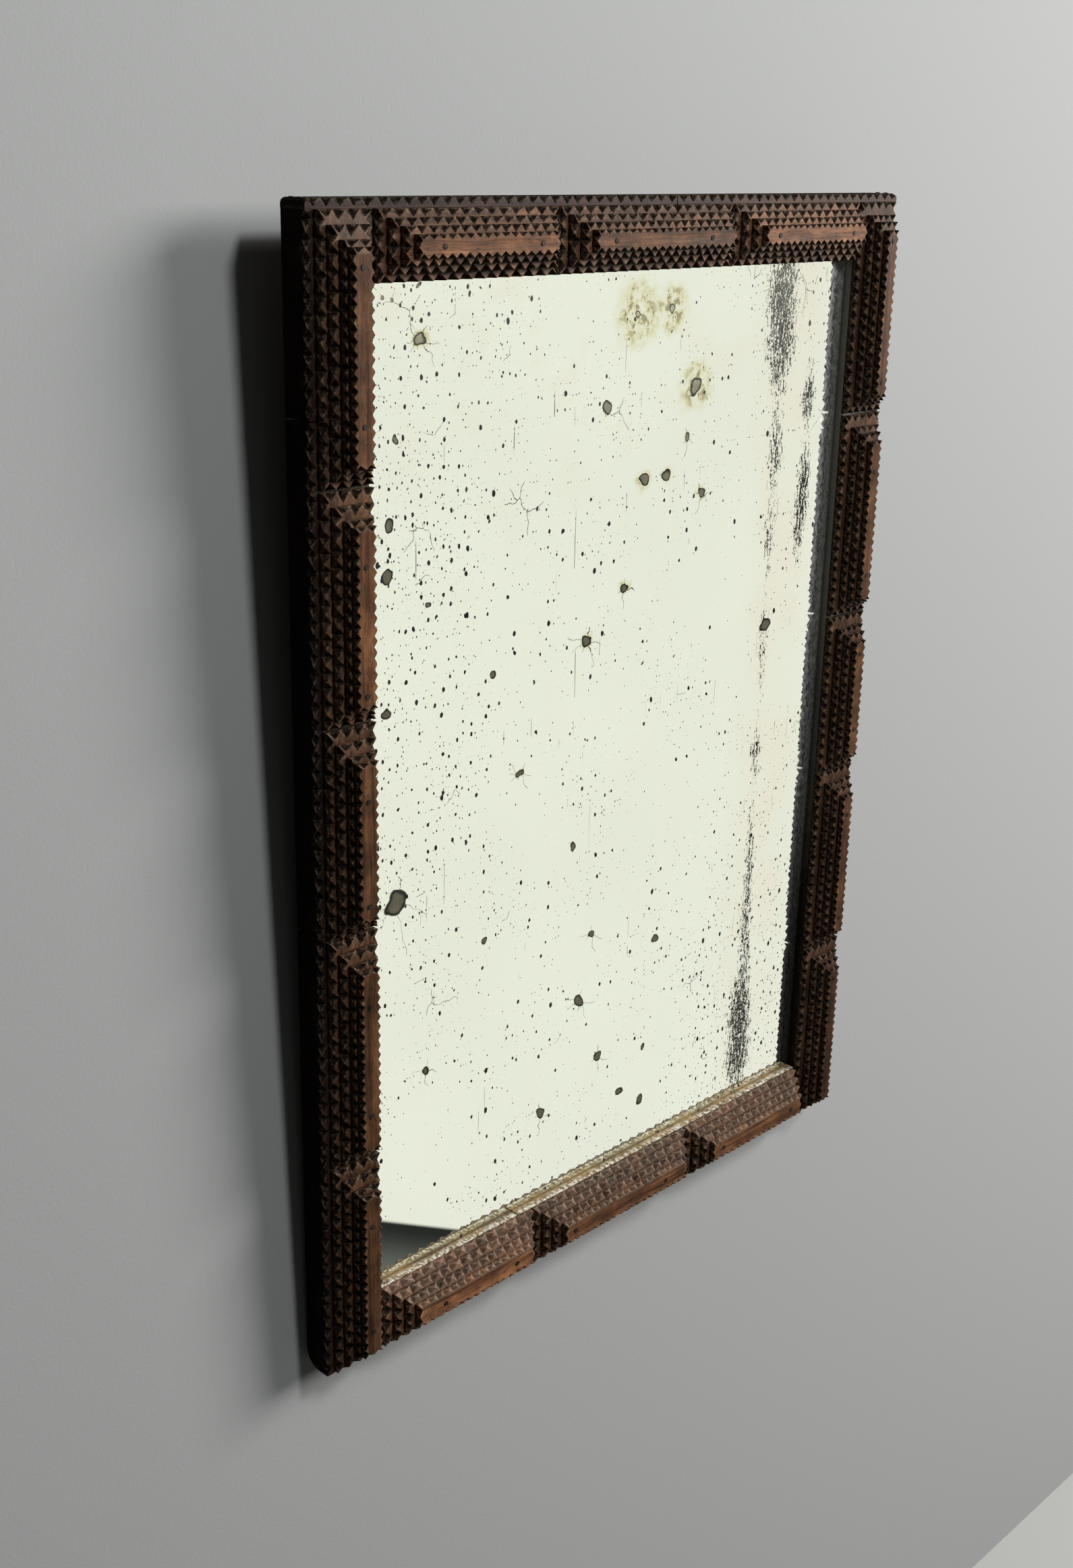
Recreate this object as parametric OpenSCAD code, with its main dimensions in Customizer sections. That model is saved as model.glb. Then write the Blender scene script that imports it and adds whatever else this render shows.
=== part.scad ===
// Tramp art wall mirror: a shallow case of thin boards whose front carries sixteen
// stepped panels. Each panel is a stack of four boards, every board notched all round.
// Millimetres. +Z is up, the front faces -Y, and the wall is the plane y = 0.
// The origin is midway between the two hanging rings, on the wall.

/* [Frame] */
// Width over the case
frame_w = 604; // [520:1:900]
// Height over the case
frame_h = 813; // [680:1:1200]

/* [Case] */
// Depth of the case boards, from the wall to the front of the ground boards
case_d = 23; // [22:0.5:40]
// Thickness of the case boards
case_t = 6.3; // [5:0.1:9]
// Radius of the rounded back edge along the foot of the case
foot_r = 13; // [4:0.5:16]
// Radius of the rounded upper corners of the top board
end_r = 3.5; // [1:0.1:5]
// Open joint where two pieces meet end to end
joint_gap = 1; // [0.3:0.1:3]
// Length of the lowest of the three pieces of the left side
left_foot_len = 345; // [200:1:400]
// Length of the highest of the three pieces of the left side
left_head_len = 122; // [60:1:180]
// Length of the left piece of the top board
top_first_len = 333; // [150:1:400]

/* [Ground boards and mirror] */
// Thickness of the ground boards under the panels
ground_t = 7.4; // [5:0.1:9]
// How far each upright ground board shows past its panels, at the mirror
stile_lip = 4.6; // [0:0.1:8]
// How far the top and bottom ground boards show past their panels
rail_lip = 0; // [0:0.1:5]
// Length of the left piece of the bottom ground board
ground_first_len = 138; // [60:1:300]
// Thickness of the mirror glass
glass_t = 3; // [2:0.1:4]
// Play round the glass and behind it
glass_gap = 0.3; // [0.1:0.1:0.5]
// Thickness of the back planks
plank_t = 6; // [4:0.1:7]
// Number of upright back planks
plank_count = 3; // [2:1:5]
// Gap round each back plank
plank_gap = 0.3; // [0:0.1:1]

/* [Stepped panels] */
// Thickness of each notched board
course_t = 4.8; // [3.5:0.1:7]
// Width of the lowest board of a panel
lowest_w = 43.4; // [36:0.1:60]
// Width of the face board of a panel
face_w = 14.4; // [10:0.1:24]
// Width of the lowest board of a bottom panel
bottom_lowest_w = 48.2; // [44:0.1:64]
// Width of the face board of a bottom panel
bottom_face_w = 19; // [10:0.1:24]
// Step from board to board at the lower edge of the bottom panels
bottom_step = 4.3; // [3.5:0.1:5]
// Step from board to board at the upper or left end of a panel
near_step = 6.9; // [4:0.1:9]
// Step from board to board at the lower or right end of a panel
far_step = 4.2; // [3:0.1:9]
// Gap between neighbouring panels
panel_gap = 2; // [0.5:0.1:6]
// Height of the lowest panel edge above the foot of the case
bottom_inset = 2; // [0:0.1:6]
// Lengths of the left panels relative to each other, from the bottom up
left_shares = [205, 212, 180, 188, 204];
// Lengths of the right panels relative to each other, from the bottom up
right_shares = [207, 204, 169, 207, 203];
// Lengths of the top panels relative to each other, from the left
top_shares = [195, 224, 198];
// Lengths of the bottom panels relative to each other, from the left
bottom_shares = [193, 228, 198];

/* [Notches] */
// Spacing of the notches along the case
case_pitch = 10.8; // [7:0.1:16]
// Spacing of the notches on the lowest boards
lowest_pitch = 11.2; // [7:0.1:16]
// Spacing of the notches on the second boards
second_pitch = 10.4; // [7:0.1:16]
// Spacing of the notches on the third boards
third_pitch = 9; // [6:0.1:14]
// Spacing of the notches on the face boards
face_pitch = 7.6; // [6:0.1:12]
// Depth of the case notches, across the front edges of the boards
case_notch = 5.1; // [2:0.1:5.6]
// Depth of the case notches, back along the outer faces of the boards
case_notch_back = 4.2; // [2:0.1:6]
// Depth of the notches into the face boards
face_notch = 2.6; // [1:0.1:4]
// Flat left on the tip of each tooth between two notches
tip_land = 0.4; // [0.2:0.05:1]
// How far a notch strays from even spacing, as a part of the spacing
stray = 0.05; // [0:0.01:0.08]

/* [Nails] */
// Width of the square nail shanks
nail_w = 1.3; // [1:0.1:2]
// Radius of the nail heads
nail_head_r = 1.8; // [1.4:0.1:2.6]
// Thickness of the nail heads
nail_head_t = 0.5; // [0.3:0.1:1]
// Clearance round a nail or screw in its hole
hole_gap = 0.05; // [0.03:0.01:0.2]
// Distance of the panel nails from the ends of their face board
nail_inset = 18; // [12:0.5:30]
// How far a panel nail strays from that distance
nail_stray = 10; // [0:0.5:10]
// Length of a nail in the second of the boards that it joins
nail_bite = 5; // [3:0.1:5]
// How far the plank brads stand out of the side boards
brad_reach = 5; // [3:0.5:8]

/* [Hanging rings] */
// Distance of the ring hinges below the top of the frame
hang_drop = 180; // [80:1:300]
// Distance between the two rings
hang_spacing = 364; // [200:1:420]
// Width of the strap plates
strap_w = 10; // [8:0.5:14]
// Length of a strap plate below its hinge
strap_len = 33; // [32:1:45]
// Thickness of a strap plate
strap_t = 1.2; // [0.8:0.1:1.4]
// Radius of the ring wire
wire_r = 1.25; // [1:0.05:1.4]
// Radius of the ring's bow, to the middle of the wire
bow_r = 10; // [9:0.1:10.2]
// Running clearance of the ring wire in its eye
eye_gap = 0.05; // [0.02:0.01:0.1]
// Wall of the rolled eye
eye_wall = 1.1; // [0.8:0.1:1.2]
// Clearance of the hanging ring over its strap
ring_clear = 0.35; // [0.3:0.05:0.5]
// Radius of the screw shanks
screw_r = 1.4; // [1:0.1:1.8]
// Radius of the screw heads
screw_head_r = 2.8; // [2.2:0.1:3]
// Height of the screw heads
screw_head_t = 1.5; // [1:0.1:2]
// Distance of the upper screw from the hinge
screw_first = 15.5; // [15:0.1:16]
// Distance between the two screws of a strap
screw_pitch = 11; // [8:0.5:12]
// Solid wood left between a screw's point and the glass
screw_rest = 1.2; // [0.8:0.1:2]

/* [Hidden] */
$fn = 48;

case_colour = [0.17, 0.10, 0.08];
board_colour = [0.30, 0.15, 0.11];
face_colour = [0.40, 0.19, 0.13];
ground_colour = [0.55, 0.42, 0.25];
plank_colour = [0.62, 0.50, 0.34];
glass_colour = [0.86, 0.90, 0.82];
iron_colour = [0.45, 0.44, 0.42];
brass_colour = [0.60, 0.50, 0.28];

// Cutting tools reach this far past what they cut
over = 1;
// A notch is at most this part of its spacing deep, so that notches never meet at a corner
depth_limit = 0.42;
// Share of its depth by which a shallow notch falls short
shallow = 0.14;
// Notches stop this far above the foot of a board
foot_rest = 0.2;
courses = 4;
side_step = (lowest_w - face_w) / (2 * (courses - 1));
bottom_upper_step = (bottom_lowest_w - bottom_face_w) / (courses - 1) - bottom_step;
pitches = [lowest_pitch, second_pitch, third_pitch, face_pitch];
course_names = ["lowest", "second", "third", "face"];
side_names = ["left", "right", "top", "bottom"];

// Depths, counted from the wall towards the viewer as -y
ground_front = -case_d;
ground_back = ground_front + ground_t;
plank_front = ground_back + glass_t + glass_gap;
plank_back = plank_front + plank_t;
face_front = ground_front - courses * course_t;

// Edges of the panels and of the opening, measured from the lower left corner
stile_in = case_t + lowest_w;
sight_x = stile_in + stile_lip;
rail_low_in = bottom_inset + bottom_lowest_w;
rail_high_in = frame_h - case_t - lowest_w;
sight_low = rail_low_in + rail_lip;
sight_high = rail_high_in - rail_lip;
run_low = bottom_inset;
run_high = frame_h - case_t;
rail_from = stile_in + panel_gap;
rail_to = frame_w - rail_from;

// The three pieces of the left side, from the bottom up
left_pieces = [
    [0, left_foot_len],
    [left_foot_len + joint_gap, frame_h - case_t - left_head_len - joint_gap],
    [frame_h - case_t - left_head_len, frame_h - case_t]
];
left_piece_names = ["left_side_foot", "left_side_middle", "left_side_head"];

function sum_to(v, n) = n <= 0 ? 0 : v[n - 1] + sum_to(v, n - 1);

// Start and end of each panel between a and b, where the lengths follow the shares
function spans(a, b, shares) =
    let (
        n = len(shares),
        unit = (b - a - panel_gap * (n - 1)) / sum_to(shares, n)
    )
    [for (i = [0 : n - 1])
        [a + unit * sum_to(shares, i) + panel_gap * i,
         a + unit * sum_to(shares, i + 1) + panel_gap * i]];

// The area of each panel's lowest board as [x0, z0, x1, z1], for side s of side_names
function cells(s) =
    s == 0 ? [for (p = spans(run_low, run_high, left_shares)) [case_t, p[0], stile_in, p[1]]] :
    s == 1 ? [for (p = spans(run_low, run_high, right_shares))
                 [frame_w - stile_in, p[0], frame_w - case_t, p[1]]] :
    s == 2 ? [for (p = spans(rail_from, rail_to, top_shares)) [p[0], rail_high_in, p[1], run_high]] :
             [for (p = spans(rail_from, rail_to, bottom_shares)) [p[0], run_low, p[1], rail_low_in]];

// Steps from one board to the next at the left, lower, right and upper edge
function steps(s) =
    s < 2 ? [side_step, far_step, side_step, near_step] :
    s == 2 ? [near_step, side_step, far_step, side_step] :
             [near_step, bottom_step, far_step, bottom_upper_step];

// The area of board k of a panel, counted from the lowest
function board_area(s, i, k) =
    let (c = cells(s)[i], d = steps(s))
    [c[0] + k * d[0], c[1] + k * d[1], c[2] - k * d[2], c[3] - k * d[3]];

// The two nails of a panel, as [x, z], on the middle line of its face board
function panel_nails(s, i) =
    let (
        f = board_area(s, i, courses - 1),
        mx = (f[0] + f[2]) / 2,
        mz = (f[1] + f[3]) / 2,
        d = rands(nail_inset - nail_stray, nail_inset + nail_stray, 2, 50 * s + i)
    )
    s < 2 ? [[mx, f[1] + d[0]], [mx, f[3] - d[1]]]
          : [[f[0] + d[0], mz], [f[2] - d[1], mz]];

function all_panel_nails() =
    [for (s = [0 : 3]) for (i = [0 : len(cells(s)) - 1]) for (p = panel_nails(s, i)) p];

// Moves what is measured from the lower left corner of the frame to its place round the origin
module placed() {
    translate([-frame_w / 2, 0, hang_drop - frame_h]) children();
}

// One V-notch across an arris. The arris is the x axis, the face runs to +y and the thickness
// to -z. The valley runs from the depth on the face to the depth on the edge.
module notch(from, to, valley, on_face, on_edge) {
    slant = sqrt(on_face * on_face + on_edge * on_edge);
    rise = on_face * on_edge / slant;
    translate([valley, 0, 0])
        rotate([180 - atan2(on_face, on_edge), 0, 0])
            linear_extrude(height = 3 * slant, center = true)
                polygon([[0, -rise], [2 * (to - valley), rise], [2 * (from - valley), rise]]);
}

// Notches side by side along an arris. The seed gives each row its own hand-cut unevenness.
module notch_row(length, pitch, on_face, on_edge, seed) {
    n = max(1, round(length / pitch));
    p = length / n;
    deep = min(on_face, depth_limit * p);
    drift = rands(-1, 1, 3 * n + 1, seed);
    for (i = [0 : n - 1]) {
        from = i * p + (i == 0 ? 0 : stray * p * drift[i]) + tip_land / 2;
        to = (i + 1) * p + (i == n - 1 ? 0 : stray * p * drift[i + 1]) - tip_land / 2;
        valley = (from + to) / 2 + stray / 2 * p * drift[n + i];
        full = 1 - shallow * abs(drift[2 * n + i]);
        notch(from, to, valley, deep * full, on_edge * full);
    }
}

// A square hole for a nail driven along -z from the origin
module nail_hole(length) {
    side = nail_w + 2 * hole_gap;
    translate([-side / 2, -side / 2, -length - hole_gap]) cube([side, side, length + hole_gap + over]);
}

// A cut nail with a round head, driven along -z from the origin
module nail(length) {
    translate([-nail_w / 2, -nail_w / 2, -length]) cube([nail_w, nail_w, length + nail_head_t / 2]);
    cylinder(r = nail_head_r, h = nail_head_t);
}

// Lays what points along +z on the front at depth y, so that it points at the viewer
module on_front(x, y, z) {
    translate([x, y, z]) rotate([90, 0, 0]) children();
}

// Squares off the outside of a quarter round of radius r about the z axis, in its +x +y quarter
module rounding_cut(r, length) {
    difference() {
        translate([0, 0, -over]) cube([r + over, r + over, length + 2 * over]);
        translate([0, 0, -2 * over]) cylinder(r = r, h = length + 4 * over);
    }
}

// The long rounding of the back edge along the foot of the case
module foot_cut() {
    translate([0, -foot_r, foot_r])
        rotate([0, 90, 0])
            rounding_cut(foot_r, frame_w);
}

// The tip of the notched tooth nearest to share t of the way from a to b
function tooth(a, b, t) =
    let (n = round((b - a) / case_pitch))
    a + round(t * n) * (b - a) / n;

// Nails of the case, each as [place of its head, turn]. Those along the edges go into the middle
// of the ground boards. On a notched edge each is driven through the broad root of a tooth.
ground_mid = ground_front + ground_t / 2;
case_nail_len = case_t + nail_bite;
brad_y = plank_back + nail_w / 2 + hole_gap;
end_nail_ys = [-0.3 * case_d, -0.63 * case_d];
top_pieces = [[0, top_first_len], [top_first_len + joint_gap, frame_w]];
left_nail_zs = [for (p = left_pieces) for (t = [0.2, 0.8]) tooth(p[0], p[1], t)];
right_nail_zs = [for (t = [0.08, 0.36, 0.64, 0.92]) tooth(0, frame_h - case_t, t)];
top_nail_xs = [for (p = top_pieces) for (t = [0.35, 0.8]) tooth(p[0], p[1], t)];
bottom_nail_xs = [for (t = [0.18, 0.46, 0.64, 0.84]) t * frame_w];
from_left = [0, -90, 0];
from_right = [0, 90, 0];
from_above = [0, 0, 0];
from_below = [180, 0, 0];

case_nail_list = concat(
    [for (y = end_nail_ys) [[case_t / 2, y, frame_h], from_above]],
    [for (y = end_nail_ys) [[frame_w - case_t / 2, y, frame_h], from_above]],
    [for (x = top_nail_xs) [[x, ground_mid, frame_h], from_above]],
    [for (x = bottom_nail_xs) [[x, ground_mid, 0], from_below]],
    [for (z = left_nail_zs) [[0, ground_mid, z], from_left]],
    [for (z = right_nail_zs) [[frame_w, ground_mid, z], from_right]],
    [[[0, -case_d / 2, case_t / 2], from_left],
     [[frame_w, -case_d / 2, case_t / 2], from_right]]
);

// Brads driven into the inner faces of the case, close behind the planks
brad_len = case_t / 2;
brad_zs = [for (t = [0.12, 0.37, 0.63, 0.88]) t * frame_h];
brad_xs = [for (t = [0.2, 0.5, 0.8]) t * frame_w];
brad_list = concat(
    [for (z = brad_zs) [[case_t, brad_y, z], from_right]],
    [for (z = brad_zs) [[frame_w - case_t, brad_y, z], from_left]],
    [for (x = brad_xs) [[x, brad_y, frame_h - case_t], from_below]]
);

module case_nail_holes() {
    for (n = case_nail_list) translate(n[0]) rotate(n[1]) nail_hole(case_nail_len);
    for (b = brad_list) translate(b[0]) rotate(b[1]) nail_hole(brad_len);
}

module case_nails() {
    color(iron_colour) placed() {
        for (n = case_nail_list) translate(n[0]) rotate(n[1]) nail(case_nail_len);
        for (b = brad_list)
            translate(b[0]) rotate(b[1]) translate([-nail_w / 2, -nail_w / 2, -brad_len])
                cube([nail_w, nail_w, brad_len + brad_reach]);
    }
}

module panel_nails() {
    color(iron_colour) placed()
        for (p = all_panel_nails()) on_front(p[0], face_front, p[1]) nail(courses * course_t + nail_bite);
}

module panel_nail_holes() {
    for (p = all_panel_nails()) on_front(p[0], face_front, p[1]) nail_hole(courses * course_t + nail_bite);
}

// A piece of the left side, notched along its front outer arris
module left_side(i) {
    low = left_pieces[i][0];
    high = left_pieces[i][1];
    color(case_colour) placed() difference() {
        translate([0, -case_d, low]) cube([case_t, case_d, high - low]);
        translate([0, -case_d, high]) rotate([0, 90, 0]) rotate([90, 0, 0])
            notch_row(high - low, case_pitch, case_notch, case_notch_back, 11 + i);
        if (i == 0) foot_cut();
        case_nail_holes();
    }
}

module right_side() {
    color(case_colour) placed() difference() {
        translate([frame_w - case_t, -case_d, 0]) cube([case_t, case_d, frame_h - case_t]);
        translate([frame_w, -case_d, 0]) rotate([0, -90, 0]) rotate([90, 0, 0])
            notch_row(frame_h - case_t, case_pitch, case_notch, case_notch_back, 15);
        foot_cut();
        case_nail_holes();
    }
}

// A piece of the top board, notched along its upper front arris
module top_board(i) {
    x0 = top_pieces[i][0];
    x1 = top_pieces[i][1];
    color(case_colour) placed() difference() {
        translate([x0, -case_d, frame_h - case_t]) cube([x1 - x0, case_d, case_t]);
        translate([x1, -case_d, frame_h]) rotate([-90, 0, 180])
            notch_row(x1 - x0, case_pitch, case_notch, case_notch_back, 21 + i);
        translate([end_r, 0, frame_h - end_r]) rotate([0, -90, 90]) rounding_cut(end_r, case_d);
        translate([frame_w - end_r, 0, frame_h - end_r]) rotate([90, 0, 0]) rounding_cut(end_r, case_d);
        case_nail_holes();
    }
}

module top_board_left() {
    top_board(0);
}

module top_board_right() {
    top_board(1);
}

module bottom_board() {
    color(case_colour) placed() difference() {
        translate([case_t, -case_d, 0]) cube([frame_w - 2 * case_t, case_d, case_t]);
        foot_cut();
        case_nail_holes();
    }
}

// A flat board under the panels, from [x0, z0] to [x1, z1], flush with the front of the case
module ground(x0, z0, x1, z1) {
    color(ground_colour) placed() difference() {
        translate([x0, ground_front, z0]) cube([x1 - x0, ground_t, z1 - z0]);
        panel_nail_holes();
        case_nail_holes();
    }
}

module left_ground() {
    ground(case_t, case_t, sight_x, frame_h - case_t);
}

module right_ground() {
    ground(frame_w - sight_x, case_t, frame_w - case_t, frame_h - case_t);
}

module top_ground() {
    ground(sight_x, sight_high, frame_w - sight_x, frame_h - case_t);
}

module bottom_ground_left() {
    ground(sight_x, case_t, sight_x + ground_first_len, sight_low);
}

module bottom_ground_right() {
    ground(sight_x + ground_first_len + joint_gap, case_t, frame_w - sight_x, sight_low);
}

// The glass fills the case. It stands on the bottom board, against the backs of the ground boards.
module mirror_glass() {
    inset = case_t + glass_gap;
    color(glass_colour) placed()
        translate([inset, ground_back, case_t])
            cube([frame_w - 2 * inset, glass_t, frame_h - case_t - inset]);
}

// The upright planks that close the back and press on the glass
module back_planks() {
    inner = frame_w - 2 * case_t;
    w = (inner - plank_gap * (plank_count + 1)) / plank_count;
    color(plank_colour) difference() {
        placed()
            for (i = [0 : plank_count - 1])
                translate([case_t + plank_gap + i * (w + plank_gap), plank_front, case_t])
                    cube([w, plank_t, frame_h - 2 * case_t - plank_gap]);
        at_straps() strap_holes(screw_r + hole_gap);
    }
}

// Board k of panel i on side s, notched along all four front arrises
module panel_board(s, i, k) {
    a = board_area(s, i, k);
    d = steps(s);
    w = a[2] - a[0];
    h = a[3] - a[1];
    on_face = [for (e = [0 : 3]) k == courses - 1 ? face_notch : d[e] - tip_land];
    edge = course_t - foot_rest;
    pitch = pitches[k];
    seed = 1000 * s + 100 * k + 10 * i;
    y = ground_front - k * course_t;
    color(k == courses - 1 ? face_colour : board_colour) placed() difference() {
        on_front(a[0], y, a[1]) difference() {
            cube([w, h, course_t]);
            translate([0, h, course_t]) rotate([0, 0, -90]) notch_row(h, pitch, on_face[0], edge, seed + 1);
            translate([0, 0, course_t]) notch_row(w, pitch, on_face[1], edge, seed + 2);
            translate([w, 0, course_t]) rotate([0, 0, 90]) notch_row(h, pitch, on_face[2], edge, seed + 3);
            translate([w, h, course_t]) rotate([0, 0, 180]) notch_row(w, pitch, on_face[3], edge, seed + 4);
        }
        for (p = panel_nails(s, i)) on_front(p[0], face_front, p[1]) nail_hole(courses * course_t + nail_bite);
    }
}

// The boards of one level along a whole side, each lying apart on its own panel
module level_boards(s, k) {
    for (i = [0 : len(cells(s)) - 1]) panel_board(s, i, k);
}

// Hanging hardware. Each strap lies flat on a plank, below the axis of its ring, and its
// children are drawn round a point on the plank straight behind that axis.
axis_out = strap_t + ring_clear + wire_r;
eye_r = wire_r + eye_gap + eye_wall;
plate_len = strap_len - strap_w / 2;
screw_len = strap_t + plank_t - screw_rest;

module at_strap(side) {
    translate([side * hang_spacing / 2, plank_back, 0]) children();
}

module at_straps() {
    for (side = [-1, 1]) at_strap(side) children();
}

module strap_holes(r) {
    for (z = [screw_first, screw_first + screw_pitch])
        translate([0, over + strap_t, -z]) rotate([90, 0, 0])
            cylinder(r = r, h = over + screw_len + hole_gap);
}

module hanger_straps() {
    color(iron_colour) at_straps() difference() {
        union() {
            translate([-strap_w / 2, 0, -plate_len]) cube([strap_w, strap_t, plate_len]);
            translate([0, strap_t, -plate_len]) rotate([90, 0, 0]) cylinder(r = strap_w / 2, h = strap_t);
            translate([-strap_w / 2, axis_out, 0]) rotate([0, 90, 0]) cylinder(r = eye_r, h = strap_w);
        }
        translate([-strap_w / 2 - over, axis_out, 0]) rotate([0, 90, 0])
            cylinder(r = wire_r + eye_gap, h = strap_w + 2 * over);
        strap_holes(screw_r + hole_gap);
    }
}

module hanger_screws() {
    color(iron_colour) at_straps()
        for (z = [screw_first, screw_first + screw_pitch])
            translate([0, strap_t, -z]) rotate([90, 0, 0]) {
                cylinder(r = screw_r, h = screw_len);
                translate([0, 0, -screw_head_t]) cylinder(r = screw_head_r, h = screw_head_t);
            }
}

// A D-shaped ring that hangs from the straight bar in its eye
module ring(side) {
    bow_wire_r = 0.96 * wire_r;
    color(brass_colour) at_strap(side) translate([0, axis_out, 0]) {
        translate([-bow_r - wire_r, 0, 0]) rotate([0, 90, 0]) cylinder(r = wire_r, h = 2 * (bow_r + wire_r));
        rotate([-90, 0, 0]) rotate_extrude(angle = 180) translate([bow_r, 0]) circle(r = bow_wire_r);
    }
}

module left_ring() {
    ring(-1);
}

module right_ring() {
    ring(1);
}

for (i = [0 : 2]) left_side(i);
right_side();
top_board_left();
top_board_right();
bottom_board();
left_ground();
right_ground();
top_ground();
bottom_ground_left();
bottom_ground_right();
mirror_glass();
back_planks();
for (s = [0 : 3]) {
    for (i = [0 : len(cells(s)) - 1]) {
        panel = str(side_names[s], "_panel_", i + 1);
        panel_board(s, i, 0);
        panel_board(s, i, courses - 1);
    }
    level_boards(s, 1);
    level_boards(s, 2);
}
panel_nails();
case_nails();
hanger_straps();
hanger_screws();
left_ring();
right_ring();
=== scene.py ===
import bpy
import math
import numpy as np
from mathutils import Matrix, Vector


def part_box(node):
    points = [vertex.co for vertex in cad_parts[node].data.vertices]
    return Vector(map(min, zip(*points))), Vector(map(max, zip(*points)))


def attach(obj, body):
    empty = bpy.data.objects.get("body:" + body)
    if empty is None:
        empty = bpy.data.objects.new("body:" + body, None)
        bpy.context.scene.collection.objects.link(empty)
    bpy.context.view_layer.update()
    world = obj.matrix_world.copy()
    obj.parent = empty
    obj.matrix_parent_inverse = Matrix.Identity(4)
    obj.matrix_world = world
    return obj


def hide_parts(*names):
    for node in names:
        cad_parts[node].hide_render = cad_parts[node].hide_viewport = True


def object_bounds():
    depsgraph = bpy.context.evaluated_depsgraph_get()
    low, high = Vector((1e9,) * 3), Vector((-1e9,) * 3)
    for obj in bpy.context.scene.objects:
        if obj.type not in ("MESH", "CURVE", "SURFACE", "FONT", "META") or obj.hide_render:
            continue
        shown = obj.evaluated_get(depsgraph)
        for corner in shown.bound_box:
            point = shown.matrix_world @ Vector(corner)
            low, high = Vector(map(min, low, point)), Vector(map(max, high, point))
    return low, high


# Looks of the tramp art mirror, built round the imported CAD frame. Metres throughout.
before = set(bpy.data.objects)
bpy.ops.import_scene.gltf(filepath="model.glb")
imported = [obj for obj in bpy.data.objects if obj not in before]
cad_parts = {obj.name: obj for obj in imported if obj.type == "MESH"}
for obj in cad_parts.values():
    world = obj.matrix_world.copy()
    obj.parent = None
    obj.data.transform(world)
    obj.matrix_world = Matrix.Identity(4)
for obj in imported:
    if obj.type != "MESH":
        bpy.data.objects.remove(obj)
cadLow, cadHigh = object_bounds()
scene = bpy.context.scene
scene.view_settings.view_transform = "Standard"
print("frame loaded:", len(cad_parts), "nodes")

mm = 0.001


# A new object in the scene
def linked(name, data):
    obj = bpy.data.objects.new(name, data)
    scene.collection.objects.link(obj)
    return obj


camera = {
    "place": (-1.0099, -0.9047, 0.2142),
    "yaw": 45.96,      # degrees from +Y towards +X
    "pitch": -19.174,
    "roll": 1.247,
    "focal": 42.483,   # mm, for 36 mm along the picture's height
}


# A camera at the place found for the photo's, turned by yaw from +Y, tilted by pitch and rolled about
# its own line of sight
def makeCamera(opts):
    yaw, pitch, roll = (math.radians(opts[k]) for k in ("yaw", "pitch", "roll"))
    forward = Vector((math.sin(yaw) * math.cos(pitch), math.cos(yaw) * math.cos(pitch), math.sin(pitch)))
    level = Vector((math.cos(yaw), -math.sin(yaw), 0))
    upright = level.cross(forward)
    right = math.cos(roll) * level + math.sin(roll) * upright
    up = -math.sin(roll) * level + math.cos(roll) * upright
    data = bpy.data.cameras.new("camera")
    data.sensor_width = 36
    data.lens = opts["focal"]
    data.clip_start, data.clip_end = 0.01, 50
    obj = linked("camera", data)
    turn = Matrix((right, up, -forward)).transposed()
    obj.matrix_world = Matrix.Translation(opts["place"]) @ turn.to_4x4()
    scene.camera = obj


makeCamera(camera)


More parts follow.
